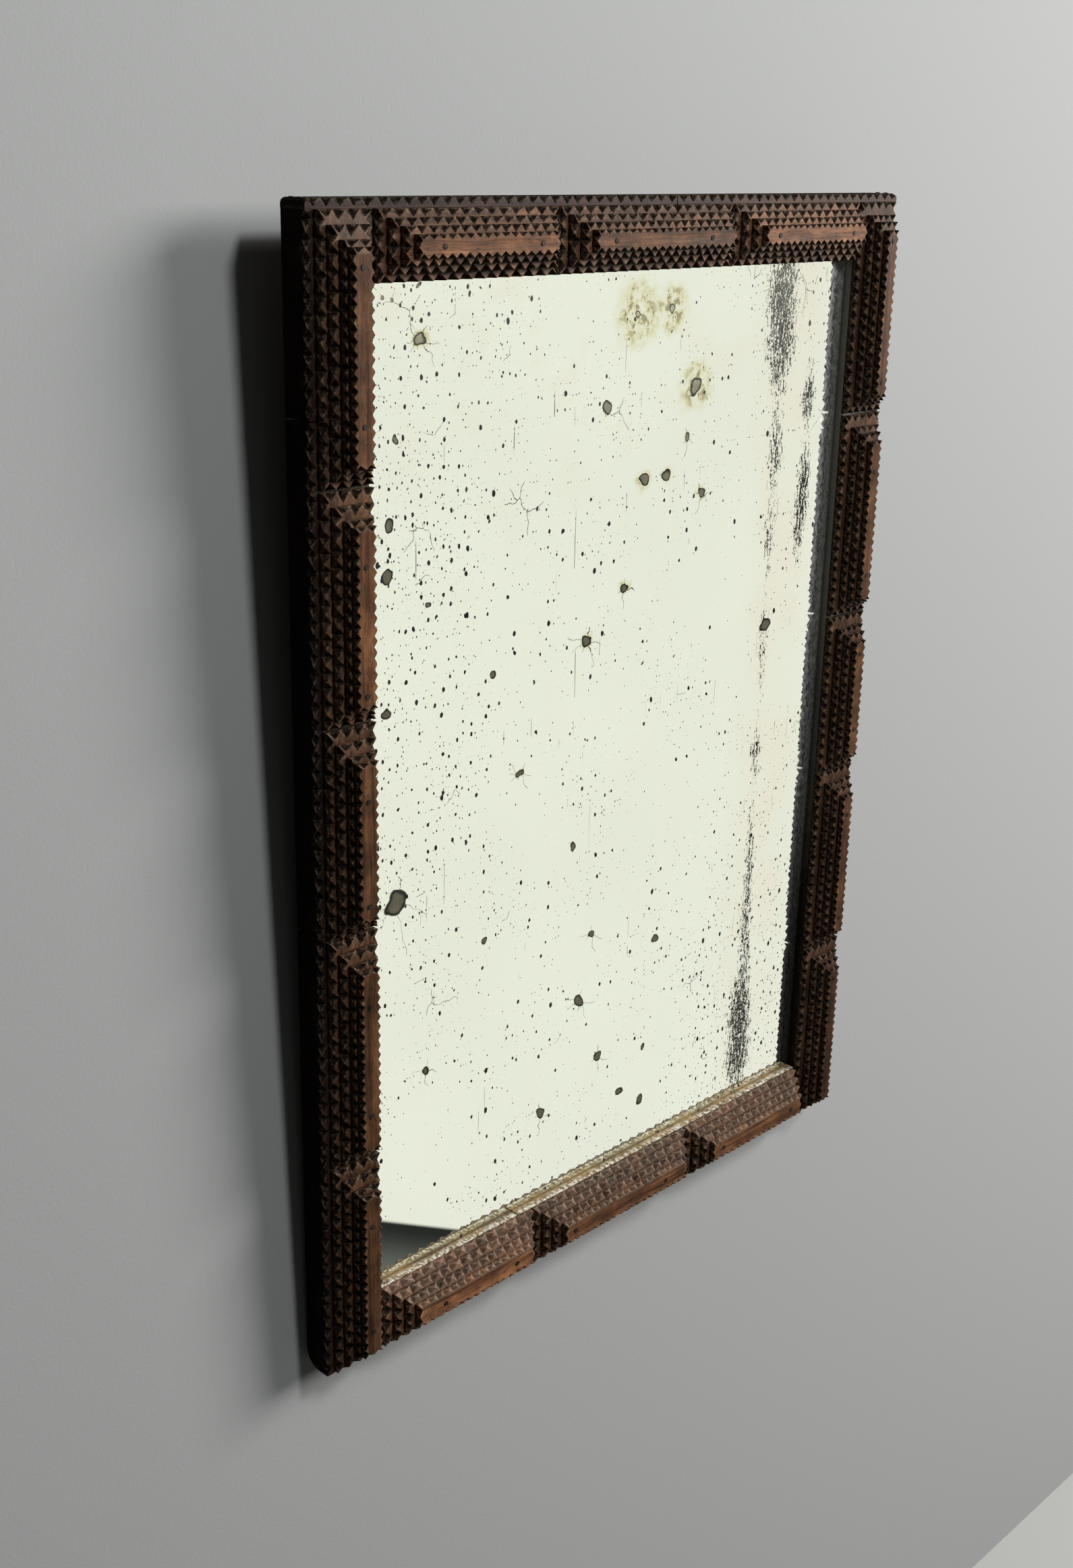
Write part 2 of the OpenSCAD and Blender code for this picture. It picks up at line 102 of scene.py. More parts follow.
# Short hands for wiring one node tree. A colour is three numbers. ramp is outLow up to low and outHigh
# from high on, and runs smoothly between them unless told otherwise.
class Nodes:
    def __init__(self, tree):
        self.tree = tree

    def add(self, kind, props=None, **inputs):
        node = self.tree.nodes.new("ShaderNode" + kind)
        for key, value in (props or {}).items():
            setattr(node, key, value)
        self.fill(node, inputs)
        return node

    def fill(self, node, inputs):
        for key, value in inputs.items():
            self.put(node.inputs[key], value)
        return node.outputs

    def put(self, socket, value):
        if isinstance(value, bpy.types.NodeSocket):
            self.tree.links.new(value, socket)
        elif value is not None:
            socket.default_value = (*value, 1.0) if socket.type == "RGBA" else value

    def math(self, op, a, b=None, clamp=False):
        node = self.add("Math", {"operation": op, "use_clamp": clamp})
        return self.fill(node, {0: a, 1: b})[0]

    def times(self, product, *others):
        for other in others:
            product = self.math("MULTIPLY", product, other)
        return product

    def plus(self, a, b):
        return self.math("ADD", a, b)

    def minus(self, a, b, clamp=False):
        return self.math("SUBTRACT", a, b, clamp)

    def most(self, a, b):
        return self.math("MAXIMUM", a, b)

    def vec(self, op, a, b=None):
        node = self.add("VectorMath", {"operation": op})
        out = self.fill(node, {0: a, "Scale" if op == "SCALE" else 1: b})
        return out["Value" if op in ("LENGTH", "DISTANCE", "DOT_PRODUCT") else "Vector"]

    def ramp(self, value, low, high, outLow=0.0, outHigh=1.0, smooth=True):
        kind = "SMOOTHSTEP" if smooth else "LINEAR"
        node = self.add("MapRange", {"interpolation_type": kind, "clamp": True})
        return self.fill(node, dict(enumerate((value, low, high, outLow, outHigh))))[0]

    def place(self, x, y, z=0.0):
        return self.add("CombineXYZ", X=x, Y=y, Z=z).outputs[0]

    def noise(self, vector, scale, detail=3.0, rough=0.55, distort=0.0, kind="3D", output="Fac"):
        sizes = {"Scale": scale, "Detail": detail, "Roughness": rough, "Distortion": distort}
        return self.add("TexNoise", {"noise_dimensions": kind}, Vector=vector, **sizes).outputs[output]

    def flatNoise(self, vector, scale, detail=2.0, rough=0.5, output="Fac"):
        return self.noise(vector, scale, detail, rough, 0.0, "2D", output)

    def mix(self, fac, a, b):
        return self.fill(self.add("Mix", {"data_type": "RGBA"}), {0: fac, 6: a, 7: b})[2]

    def blend(self, fac, a, b):
        return self.fill(self.add("Mix", {"data_type": "FLOAT"}), {0: fac, 2: a, 3: b})[0]

    def mixShader(self, fac, a, b):
        return self.fill(self.add("MixShader"), {0: fac, 1: a, 2: b})[0]

    def group(self, tree, **inputs):
        return self.add("Group", {"node_tree": tree}, **inputs).outputs

    def attribute(self, name, output="Fac"):
        return self.add("Attribute", {"attribute_name": name}).outputs[output]

    def objectPlace(self):
        return self.add("TexCoord").outputs["Object"]

    def bump(self, height, strength, distance, normal=None):
        return self.add("Bump", Height=height, Strength=strength, Distance=distance, Normal=normal).outputs[0]


# An empty node group: its wiring, the sockets that come in and those that go out. Sockets carry a
# number each, but a vector where a name ends with a star.
def newGroup(name, inputs, outputs):
    tree = bpy.data.node_groups.new(name, "ShaderNodeTree")
    for way, keys in (("INPUT", inputs), ("OUTPUT", outputs)):
        for key in keys.split():
            kind = "NodeSocketVector" if key.endswith("*") else "NodeSocketFloat"
            tree.interface.new_socket(name=key.rstrip("*"), in_out=way, socket_type=kind)
    n = Nodes(tree)
    start, end = tree.nodes.new("NodeGroupInput"), tree.nodes.new("NodeGroupOutput")
    return n, start.outputs, end.inputs


# A new material with its wiring and its shader
def newMaterial(name):
    mat = bpy.data.materials.new(name)
    mat.use_nodes = True
    tree = mat.node_tree
    return mat, Nodes(tree), tree.nodes["Principled BSDF"]


# Solid grain in a board's own directions: noise squeezed along the board gives fibres, the same at
# about a fifth of the scale gives bands, short dashes of it give pores, and plain noise gives blotches
def makeGrainGroup():
    n, inp, out = newGroup("solidGrain", "Vector* Fibre Stretch", "Fibres Bands Pores Blotches")
    x, y, z = n.add("SeparateXYZ", Vector=inp["Vector"]).outputs
    along = n.times(x, inp["Stretch"])
    wander = n.noise(inp["Vector"], 14.0, 2.0)
    shift = n.times(n.minus(wander, 0.5), 0.006)
    across, deep = n.plus(y, shift), n.plus(z, shift)
    fine = n.place(along, across, deep)
    n.put(out["Fibres"], n.noise(fine, inp["Fibre"], 4.0, 0.6))
    n.put(out["Bands"], n.noise(fine, n.times(inp["Fibre"], 0.22), 3.0, 0.5, 0.6))
    dash = n.place(n.times(along, 3.0), across, deep)
    pore = n.noise(dash, n.times(inp["Fibre"], 2.6), 1.0, 0.4)
    n.put(out["Pores"], n.ramp(pore, 0.60, 0.70))
    n.put(out["Blotches"], n.noise(inp["Vector"], 38.0, 3.0, 0.6))
    return n.tree


grainGroup = makeGrainGroup()

woods = {
    # light and dark grain of the outer face, colour of the knife cuts, worn high spots, also painted
    # highlight
    "panelWood": dict(light=(0.300, 0.140, 0.072), dark=(0.060, 0.024, 0.013), cut=(0.024, 0.014, 0.011),
                      worn=(0.55, 0.38, 0.26), rough=0.44, shine=0.3, stretch=0.035, pores=0.6, patchy=0.35),
    "faceWood": dict(light=(0.360, 0.160, 0.073), dark=(0.085, 0.033, 0.015), cut=(0.026, 0.015, 0.011),
                     worn=(0.55, 0.38, 0.26), rough=0.42, shine=0.3, stretch=0.026, pores=0.8, patchy=0.38),
    "caseWood": dict(light=(0.150, 0.072, 0.050), dark=(0.034, 0.016, 0.011), cut=(0.022, 0.014, 0.011),
                     worn=(0.45, 0.34, 0.25), rough=0.45, shine=0.3, stretch=0.030),
    "groundWood": dict(light=(0.38, 0.25, 0.11), dark=(0.13, 0.075, 0.035), worn=(0.86, 0.82, 0.72),
                       rough=0.65, shine=0.2, stretch=0.018),
    "sootedWood": dict(light=(0.16, 0.13, 0.085), dark=(0.010, 0.009, 0.007), worn=(0.20, 0.20, 0.18),
                       rough=0.60, shine=0.2, stretch=0.018),
    "greyedWood": dict(light=(0.15, 0.13, 0.10), dark=(0.020, 0.018, 0.015), worn=(0.20, 0.20, 0.18),
                       rough=0.50, shine=1.0, stretch=0.060, pores=0.7, patchy=0.4, gloss=2.2),
    "plankWood": dict(light=(0.56, 0.40, 0.24), dark=(0.27, 0.175, 0.095), worn=(0.42, 0.33, 0.22),
                      rough=0.80, shine=0.15, stretch=0.020, patchy=0.1),
}
# pale colour laid by the dust attribute: dust, and painted light from the mirror on the bottom panels
paleDustAndLightColour = (0.30, 0.25, 0.205)
# near black laid by attribute foot: painted shade in crevices, stain and painted shade on outer faces
shadeAndStainColour = (0.009, 0.007, 0.006)


# Colour = bands and fibres between dark and light, pores and the darkest bands darker still; then the
# cuts' own colour by attribute "cut", all times attribute "tone", the wood's own tone and partly
# painted shade; paler where attribute "wear" meets noise, wear and, where raised, painted highlight;
# greyer by the dust attribute less "cut", dust and on the bottom panels painted light; and nearly
# black by attribute "foot": painted shade in the crevices at the boards' feet, stain and painted shade
# on the case's outer faces and back, and the right ground's blackening. Cuts and the painted shade
# and stain have no coat.
def makeWood(name, light, dark, worn, rough, shine, stretch, cut=(0, 0, 0), pores=0.5, patchy=0.3, gloss=1.5):
    mat, n, bsdf = newMaterial(name)
    place = n.attribute("grain", "Vector")
    grain = n.group(grainGroup, Vector=place, Fibre=900.0, Stretch=stretch)
    cutMask, wear, foot, dust, share = (n.attribute(k) for k in ("cut", "wear", "foot", "dust", "tone"))
    figure = n.plus(n.times(grain["Bands"], 0.8), n.times(grain["Fibres"], 0.5))
    colour = n.mix(n.ramp(figure, 0.42, 0.84), dark, light)
    colour = n.mix(n.times(grain["Pores"], pores), colour, [c * 0.4 for c in dark])
    colour = n.mix(n.ramp(grain["Bands"], 0.60, 0.68, 0.0, 0.45), colour, [c * 0.6 for c in dark])
    knifed = n.times(cutMask, n.ramp(grain["Blotches"], 0.25, 0.5, 0.93, 1.0))
    colour = n.mix(knifed, colour, n.vec("SCALE", cut, n.ramp(grain["Fibres"], 0.3, 0.7, 0.65, 1.35)))
    patches = n.ramp(grain["Blotches"], 0.32, 0.7, 1 - patchy, 1 + patchy)
    colour = n.vec("SCALE", colour, n.times(share, patches))
    # wear, raised as painted highlight on the bottom and top panels and on the bottom ground's arris
    wearAndHighlight = n.times(wear, n.ramp(n.noise(place, 360.0, 3.0, 0.6), 0.40, 0.62, 0.0, 0.8))
    colour = n.mix(wearAndHighlight, colour, worn)
    # dust, and painted light from the mirror along the bottom panels' upper edges
    patchesOfDustAndLight = n.ramp(n.noise(place, 130.0, 4.0, 0.65), 0.35, 0.65, 0.08, 0.36)
    colour = n.mix(n.times(n.minus(dust, cutMask, clamp=True), patchesOfDustAndLight), colour, paleDustAndLightColour)
    # painted shade in the crevices at the boards' feet; stain and painted shade on the case's outer faces
    shadeAndStain = n.times(foot, n.ramp(grain["Blotches"], 0.2, 0.7, 0.95, 0.7))
    dull = n.ramp(grain["Blotches"], 0.3, 0.7, rough - 0.08, rough + 0.14)
    dull = n.plus(dull, n.times(cutMask, 0.4))
    bare = n.minus(1.0, n.most(cutMask, foot), clamp=True)
    height = n.plus(n.times(grain["Fibres"], 0.6), n.times(grain["Bands"], 0.5))
    height = n.minus(height, n.times(grain["Pores"], 0.6))
    coarse = n.bump(n.noise(place, 150.0, 3.0, 0.6), 0.35, 0.7 * mm)
    n.fill(bsdf, {
        "Base Color": n.mix(shadeAndStain, colour, shadeAndStainColour),
        "Roughness": n.blend(n.times(foot, 0.8), dull, 0.9),
        "Specular IOR Level": 0.05,
        "Coat Weight": n.times(bare, shine),
        "Coat Roughness": rough,
        "Coat IOR": gloss,
        "Normal": n.bump(height, 0.55, 0.3 * mm, coarse),
    })
    return mat


mats = {name: makeWood(name, **look) for name, look in woods.items()}
print("woods made")


metals = {
    # bright steel, rust, roughness of the bright steel
    "nailSteel": ((0.055, 0.047, 0.040), (0.016, 0.012, 0.010), 0.55),
    "hangerSteel": ((0.52, 0.47, 0.36), (0.16, 0.11, 0.07), 0.35),
}


# Bright steel under rust: rust where the mean of fine and coarse noise is high, and there duller,
# rougher and less metallic
def makeMetal(name, bright, dull, rough):
    mat, n, bsdf = newMaterial(name)
    place = n.objectPlace()
    spots = n.noise(place, 900.0, 4.0, 0.65)
    patch = n.noise(place, 160.0, 3.0, 0.6)
    rust = n.ramp(n.plus(n.times(spots, 0.5), n.times(patch, 0.5)), 0.48, 0.60)
    n.fill(bsdf, {
        "Base Color": n.mix(rust, bright, dull),
        "Metallic": n.minus(1.0, n.times(rust, 0.8)),
        "Roughness": n.blend(rust, rough, 0.8),
        "Normal": n.bump(spots, 0.4, 0.1 * mm),
    })
    return mat


mats.update({name: makeMetal(name, *look) for name, look in metals.items()})


# Scattered specks: a disk round each Voronoi point, its radius a high power of a random number,
# present in the given share of the cells
def makeSpeckGroup():
    n, inp, out = newGroup("specks", "Vector* Scale Size Share", "Mask")
    cells = n.add("TexVoronoi", {"voronoi_dimensions": "2D"}, Vector=inp["Vector"], Scale=inp["Scale"])
    luck = n.add("SeparateColor", Color=cells.outputs["Color"]).outputs
    radius = n.times(n.plus(n.times(n.math("POWER", luck[0], 2.5), 0.7), 0.3), inp["Size"])
    disk = n.ramp(cells.outputs["Distance"], n.times(radius, 0.8), radius, 1.0, 0.0)
    n.put(out["Mask"], n.times(disk, n.math("LESS_THAN", luck[1], inp["Share"])))
    return n.tree


# One larger spot. X: one at the centre, falling evenly to nought at the radius. Y: hair cracks along
# evenly turned rays, each as long as a number made from its turn says. Z: the stain, one at the
# centre, falling smoothly to nought at halo times the radius.
def makeSpotGroup():
    n, inp, out = newGroup("foxedSpot", "Vector* Centre* Radius Rays Halo", "Marks*")
    away = n.vec("SUBTRACT", inp["Vector"], inp["Centre"])
    reach = n.vec("LENGTH", away)
    disk = n.minus(1.0, n.math("DIVIDE", reach, inp["Radius"]), clamp=True)
    x, y, _ = n.add("SeparateXYZ", Vector=away).outputs
    angle = n.math("ARCTAN2", y, x)
    turn = n.times(angle, n.math("DIVIDE", inp["Rays"], 2 * math.pi))
    side = n.math("ABSOLUTE", n.minus(n.math("FRACT", turn), 0.5))
    gap = n.math("DIVIDE", n.times(side, reach, 2 * math.pi), n.most(inp["Rays"], 1.0))
    line = n.ramp(gap, 0.04 * mm, 0.20 * mm, 1.0, 0.0)
    number = n.math("FRACT", n.times(n.math("SINE", n.times(n.math("FLOOR", turn), 12.9)), 43.7))
    end = n.times(inp["Radius"], n.plus(n.times(n.math("ABSOLUTE", number), 3.4), 1.1))
    line = n.times(line, n.ramp(reach, n.times(end, 0.8), end, 1.0, 0.0))
    line = n.times(line, n.math("GREATER_THAN", inp["Rays"], 0.5))
    stain = n.ramp(reach, 0.0, n.times(inp["Radius"], inp["Halo"]), 1.0, 0.0)
    n.put(out["Marks"], n.place(disk, line, stain))
    return n.tree


# Distance from the straight line between two points
def makeCrackGroup():
    n, inp, out = newGroup("hairCrack", "Vector* From* To*", "Apart")
    line = n.vec("SUBTRACT", inp["To"], inp["From"])
    away = n.vec("SUBTRACT", inp["Vector"], inp["From"])
    share = n.math("DIVIDE", n.vec("DOT_PRODUCT", away, line), n.vec("DOT_PRODUCT", line, line), clamp=True)
    n.put(out["Apart"], n.vec("DISTANCE", away, n.vec("SCALE", line, share)))
    return n.tree


# A vertical band of flaked silver. Level = flake noise + density, less the square of the distance from
# the band's middle line; flakes show where the level is high, broken up by a finer noise, the grit,
# which matters less the higher the level is.
def makeFlakeGroup():
    n, inp, out = newGroup("flakedBand", "Flakes Across Middle Half Density Grit", "Mask")
    off = n.math("DIVIDE", n.math("ABSOLUTE", n.minus(inp["Across"], inp["Middle"])), inp["Half"])
    level = n.plus(inp["Flakes"], n.times(inp["Density"], 0.36))
    level = n.minus(level, n.times(n.math("POWER", off, 2.0), 0.22))
    start = n.minus(0.56, n.ramp(level, 0.68, 0.90, 0.0, 0.3))
    mask = n.times(n.ramp(level, 0.64, 0.68), n.ramp(inp["Grit"], start, 0.58), n.math("LESS_THAN", off, 1.7))
    n.put(out["Mask"], mask)
    return n.tree


mirror = {
    "silver": (0.875, 0.895, 0.780),
    "lost": (0.118, 0.124, 0.115),
    "core": (0.62, 0.58, 0.42),  # the middles of the larger spots
    "bloom": (0.70, 0.66, 0.34),
    "foxed": (0.20, 0.15, 0.095),
    "warm": (0.86, 0.83, 0.70),
    "spots": [  # x, z, radius, rays of cracks, width of the brown stain in radii; x, z and radius in mm
        (-204, 94, 4.4, 9, 2.5), (-225, 33, 3.0, 0, 0), (-234, -55, 4.8, 0, 0), (-197, -80, 3.0, 0, 0),
        (-228, -286, 10.0, 7, 1.5), (70, 45, 6.4, 0, 4.8), (62, 8, 3.2, 6, 2.2), (42, -18, 5.6, 0, 2.0),
        (14, -19, 4.6, 0, 3.0), (83, -36, 3.8, 5, 2.5), (-2, -96, 4.0, 6, 2.6), (-28, 35, 4.4, 0, 1.6),
        (-42, -131, 5.4, 8, 2.2), (-108, -218, 3.6, 9, 2.0), (-234, -148, 4.4, 0, 1.6),
        (-136, -140, 3.0, 0, 1.6), (-142, -341, 4.0, 0, 1.6), (-37, -423, 5.2, 8, 1.6),
        (-26, -370, 4.2, 7, 1.6), (-79, -506, 4.8, 6, 1.6), (15, -522, 4.6, 0, 1.6),
        (41, -541, 4.4, 0, 1.6), (42, -490, 3.8, 0, 1.6), (52, -396, 3.8, 0, 1.6),
        (-13, -480, 4.2, 6, 1.6), (3, 100, 3.6, 0, 11.0), (40, 102, 4.0, 0, 7.5), (-237, 120, 2.0, 0, 0),
        (-229, 120, 1.4, 0, 0), (-214, 108, 1.6, 0, 0), (-232, -22, 4.4, 0, 0), (-217, 99, 1.3, 0, 0),
        (-206, 126, 1.8, 0, 0), (173, -155, 6.0, 0, 1.5), (-50, -290, 3.4, 0, 1.5),
        (-201, -424, 3.8, 7, 1.6),
    ],
    "cracks": [  # bent lines through these points, x and z in mm
        [(-244, 127.5), (-237, 122)], [(-226, 127), (-228, 121)], [(-234, 118), (-228, 118), (-214, 112)],
        [(-205, 121), (-214, 112), (-213, 104), (-208, 98)], [(-213, 104), (-217, 99.5)],
        [(-175, 125), (-175, 108), (-180, 106)], [(-202, 35), (-193, 32.5), (-185, 40)],
        [(226, 15), (232, 11), (216, -3)], [(190, 122), (199, 114), (202, 98)],
    ],
    # height in mm, half width in mm and density of the flaked band, from the foot up
    "band": [(-600, 10, 0.15), (-555, 15, 0.95), (-500, 14, 1.0), (-455, 9, 0.65), (-400, 7, 0.75),
             (-345, 6, 0.62), (-300, 7, 0.12), (-262, 8, 0.70), (-235, 6, 0.1), (-165, 7, 0.55),
             (-130, 5, 0.12), (-85, 7, 0.66), (-50, 9, 0.22), (-20, 9, 0.72), (25, 11, 0.35), (60, 18, 0.88),
             (100, 19, 0.98), (140, 15, 0.86)],
    "secondBand": [(-120, 5, 0.0), (-95, 6, 0.62), (-65, 9, 0.9), (-30, 8, 0.78), (-5, 6, 0.2),
                   (30, 7, 0.98), (50, 6, 0.3), (80, 5, 0.0)],
    "middles": (172 * mm, 211.5 * mm),
    # scale, size, share where the specks crowd, share in the two spotted zones
    "specks": [(230.0, 0.17, 0.6, 0.2), (105.0, 0.20, 0.45, 0.5), (62.0, 0.15, 0.5, 0.3)],
    "filmFrom": 230 * mm,  # a dull film lies on the glass from here to the right stile
}


# A table over height, read by straight lines between its rows: half width and density
def heightTable(n, z, rows, widest=20):
    low, high = rows[0][0] * mm, rows[-1][0] * mm
    ramp = n.add("ValToRGB", Fac=n.ramp(z, low, high, smooth=False))
    steps = ramp.color_ramp.elements
    for at, _, _ in rows[1:-1]:
        steps.new((at * mm - low) / (high - low))
    for step, (_, half, density) in zip(steps, rows):
        step.color = (half / widest, density, 0, 1)
    parts = n.add("SeparateColor", Color=ramp.outputs[0]).outputs
    inside = n.times(n.math("GREATER_THAN", z, low), n.math("LESS_THAN", z, high))
    return n.plus(n.times(parts[0], widest * mm), 1 * mm), n.times(parts[1], inside)


# Lost = the strongest of specks, spots, flakes and, fainter, cracks, scratches and nets of crackle.
# Colour = the silver, warmer in faint patches, yellow-green and brown where stains meet mottling, and
# the dark backing where the silver is lost, which is rougher as well. A rough coat makes the film: it is
# patchy, begins raggedly and thins towards the foot.
def makeSilveredGlass(opts):
    speckGroup, spotGroup = makeSpeckGroup(), makeSpotGroup()
    crackGroup, flakeGroup = makeCrackGroup(), makeFlakeGroup()
    mat, n, bsdf = newMaterial("silveredGlass")
    x, _, z = n.add("SeparateXYZ", Vector=n.objectPlace()).outputs
    flat = n.place(x, z)

    # noise about nought, times a size, to bend places by
    def shift(scale, detail, size):
        colour = n.flatNoise(flat, scale, detail, output="Color")
        return n.vec("SCALE", n.vec("SUBTRACT", colour, (0.5, 0.5, 0.5)), size)

    place = n.vec("ADD", flat, shift(300.0, 2.0, 1.3 * mm))
    crooked = n.vec("ADD", place, shift(70.0, 1.0, 9.0 * mm))
    crowd = n.flatNoise(flat, 13.0)
    leftZone = n.times(n.ramp(x, -0.10, -0.20), n.ramp(z, -0.42, -0.25))
    near = n.most(leftZone, n.times(n.ramp(z, -0.25, -0.50), n.ramp(x, 0.05, 0.17)))
    dense = n.ramp(crowd, 0.36, 0.64, 0.05, 0.5)
    upright = n.vec("MULTIPLY", place, (1.4, 1.0, 1.0))
    lost = 0.0
    for scale, size, crowded, zoned in opts["specks"]:
        share = n.plus(n.times(dense, crowded), n.times(near, zoned))
        specks = n.group(speckGroup, Vector=upright, Scale=scale, Size=size, Share=share)
        lost = n.most(lost, specks["Mask"])
    marks, apart = (0, 0, 0), 1.0
    for cx, cz, radius, rays, halo in opts["spots"]:
        sizes = {"Centre": (cx * mm, cz * mm, 0), "Radius": radius * mm, "Rays": rays, "Halo": max(halo, 0.1)}
        marks = n.vec("MAXIMUM", marks, n.group(spotGroup, Vector=crooked, **sizes)["Marks"])
    for bends in opts["cracks"]:
        for (fromX, fromZ), (toX, toZ) in zip(bends, bends[1:]):
            ends = {"From": (fromX * mm, fromZ * mm, 0), "To": (toX * mm, toZ * mm, 0)}
            apart = n.math("MINIMUM", apart, n.group(crackGroup, Vector=place, **ends)["Apart"])
    disks, cracks, stains = n.add("SeparateXYZ", Vector=marks).outputs
    lost = n.most(lost, n.ramp(disks, 0.0, 0.12))
    cracks = n.most(cracks, n.ramp(apart, 0.06 * mm, 0.22 * mm, 0.9, 0.0))
    flakes = n.flatNoise(n.place(n.times(x, 4.2), z), 105.0, 4.0, 0.62)
    grit = n.flatNoise(n.vec("MULTIPLY", flat, (2.0, 1.0, 1.0)), 480.0, 1.0)
    swayed = n.plus(x, n.times(n.minus(crowd, 0.5), 0.012))
    for middle, rows in zip(opts["middles"], (opts["band"], opts["secondBand"])):
        half, density = heightTable(n, z, rows)
        band = n.group(flakeGroup, Flakes=flakes, Across=swayed, Middle=middle, Half=half, Density=density,
                       Grit=grit)
        lost = n.most(lost, band["Mask"])
    scratch = n.ramp(n.flatNoise(n.place(n.times(x, 60.0), z), 9.0), 0.778, 0.788, 0.0, 0.6)
    scratch = n.times(scratch, n.ramp(crowd, 0.48, 0.55))
    cells = {"voronoi_dimensions": "2D", "feature": "DISTANCE_TO_EDGE"}
    edges = n.add("TexVoronoi", cells, Vector=crooked, Scale=36.0).outputs["Distance"]
    net = n.times(n.ramp(edges, 0.003, 0.010, 0.3, 0.0), n.ramp(crowd, 0.68, 0.74))
    lost = n.most(lost, n.times(n.most(n.most(cracks, scratch), net), 0.4))
    mottle = n.flatNoise(flat, 120.0, 4.0, 0.7)
    faint = n.times(n.ramp(n.flatNoise(flat, 22.0, 5.0, 0.65), 0.50, 0.68), n.ramp(z, -0.15, 0.10, 0.15, 0.5))
    strip = n.ramp(n.math("ABSOLUTE", n.minus(x, 0.185)), 0.015, 0.06, 1.0, 0.0)
    warm = n.most(n.times(strip, n.ramp(crowd, 0.35, 0.6, 0.3, 0.9)), faint)
    colour = n.vec("SCALE", opts["silver"], n.ramp(n.flatNoise(flat, 4.0), 0.3, 0.7, 0.965, 1.0))
    colour = n.mix(warm, colour, opts["warm"])
    bloom = n.times(n.ramp(stains, 0.1, 0.65, 0.0, 0.75), n.ramp(mottle, 0.36, 0.58, 0.25, 1.0))
    colour = n.mix(bloom, colour, opts["bloom"])
    foxed = n.times(n.ramp(stains, 0.35, 0.8, 0.0, 0.65), n.ramp(mottle, 0.52, 0.62))
    colour = n.mix(foxed, colour, opts["foxed"])
    backing = n.mix(n.ramp(disks, 0.15, 0.45), opts["lost"], opts["core"])
    backing = n.vec("SCALE", backing, n.ramp(mottle, 0.0, 1.0, 0.55, 1.2, False))
    ragged = n.plus(x, n.times(n.minus(mottle, 0.5), 0.012))
    film = n.ramp(ragged, opts["filmFrom"], n.plus(opts["filmFrom"], 2 * mm))
    smears = n.flatNoise(n.vec("MULTIPLY", crooked, (2.4, 1.0, 1.0)), 170.0, 4.0, 0.7)
    smears = n.ramp(smears, 0.38, 0.62, 0.3, 1.0)
    n.fill(bsdf, {
        "Base Color": n.mix(lost, colour, backing),
        "Metallic": 1.0,
        "Roughness": n.times(lost, 0.3),
        "Coat Weight": n.times(film, smears, n.ramp(z, -0.50, -0.20, 0.2, 1.0)),
        "Coat Roughness": 0.6,
        "Coat IOR": 5.0,
        "Normal": n.bump(crowd, 0.04, 0.05 * mm),
    })
    return mat


mats["silveredGlass"] = makeSilveredGlass(mirror)
print("metal and glass made")


crease = 18  # degrees


# A piece from points and faces, with the marks that its wood reads stored at the points, smooth but
# for the edges that turn by more than the crease
def makePiece(name, points, faces, layers, material, node):
    mesh = bpy.data.meshes.new(name)
    mesh.from_pydata(points.tolist(), [], faces)
    for key, values in layers.items():
        kind, field = ("FLOAT_VECTOR", "vector") if values.ndim == 2 else ("FLOAT", "value")
        layer = mesh.attributes.new(key, kind, "POINT")
        layer.data.foreach_set(field, np.asarray(values, np.float32).ravel())
    mesh.polygons.foreach_set("use_smooth", np.ones(len(mesh.polygons), bool))
    mesh.set_sharp_from_angle(angle=math.radians(crease))
    mesh.materials.append(mats[material])
    mesh.update()
    obj = linked(name, mesh)
    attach(obj, "frame")
    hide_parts(node)


# Joins several boards (points, faces, layers) into one
def joined(boards):
    points, faces, layers = zip(*boards)
    starts = np.cumsum([0] + [len(some) for some in points]).tolist()
    faces = [[v + start for v in face] for start, some in zip(starts, faces) for face in some]
    return np.concatenate(points), faces, {k: np.concatenate([some[k] for some in layers]) for k in layers[0]}


# Quads between rows of a grid of vertex numbers, closed round the last axis if wanted
def quads(grid, closed=False):
    if closed:
        grid = np.concatenate([grid, grid[:, :1]], 1)
    a, b = grid[:-1], grid[1:]
    return np.stack([a[:, :-1], a[:, 1:], b[:, 1:], b[:, :-1]], -1).reshape(-1, 4).tolist()


knife = {
    "stray": 0.05,      # unevenness of the spacing, as a part of it
    "lean": 0.07,       # how far a valley sits off the middle
    "shallow": 0.17,    # share of the depth by which some cuts fall short
    "tipWear": 0.035,   # share of the depth that a tooth has lost
    "chipped": 0.05,    # share of the teeth that are broken
    "edge": 0.2 * mm,   # softness of the cuts' edges
    "left": 0.2 * mm,   # what a cut leaves of the board's thickness
    "heel": 0.35 * mm,  # from the valleys back to the first ring on the face
    "limit": 0.66,      # deepest cut, as a part of the spacing
    "unlike": 0.3,      # difference of tone from tooth to tooth
    "bulge": (-0.05, 0.03),  # bow of the cuts' faces, as a part of their width
}


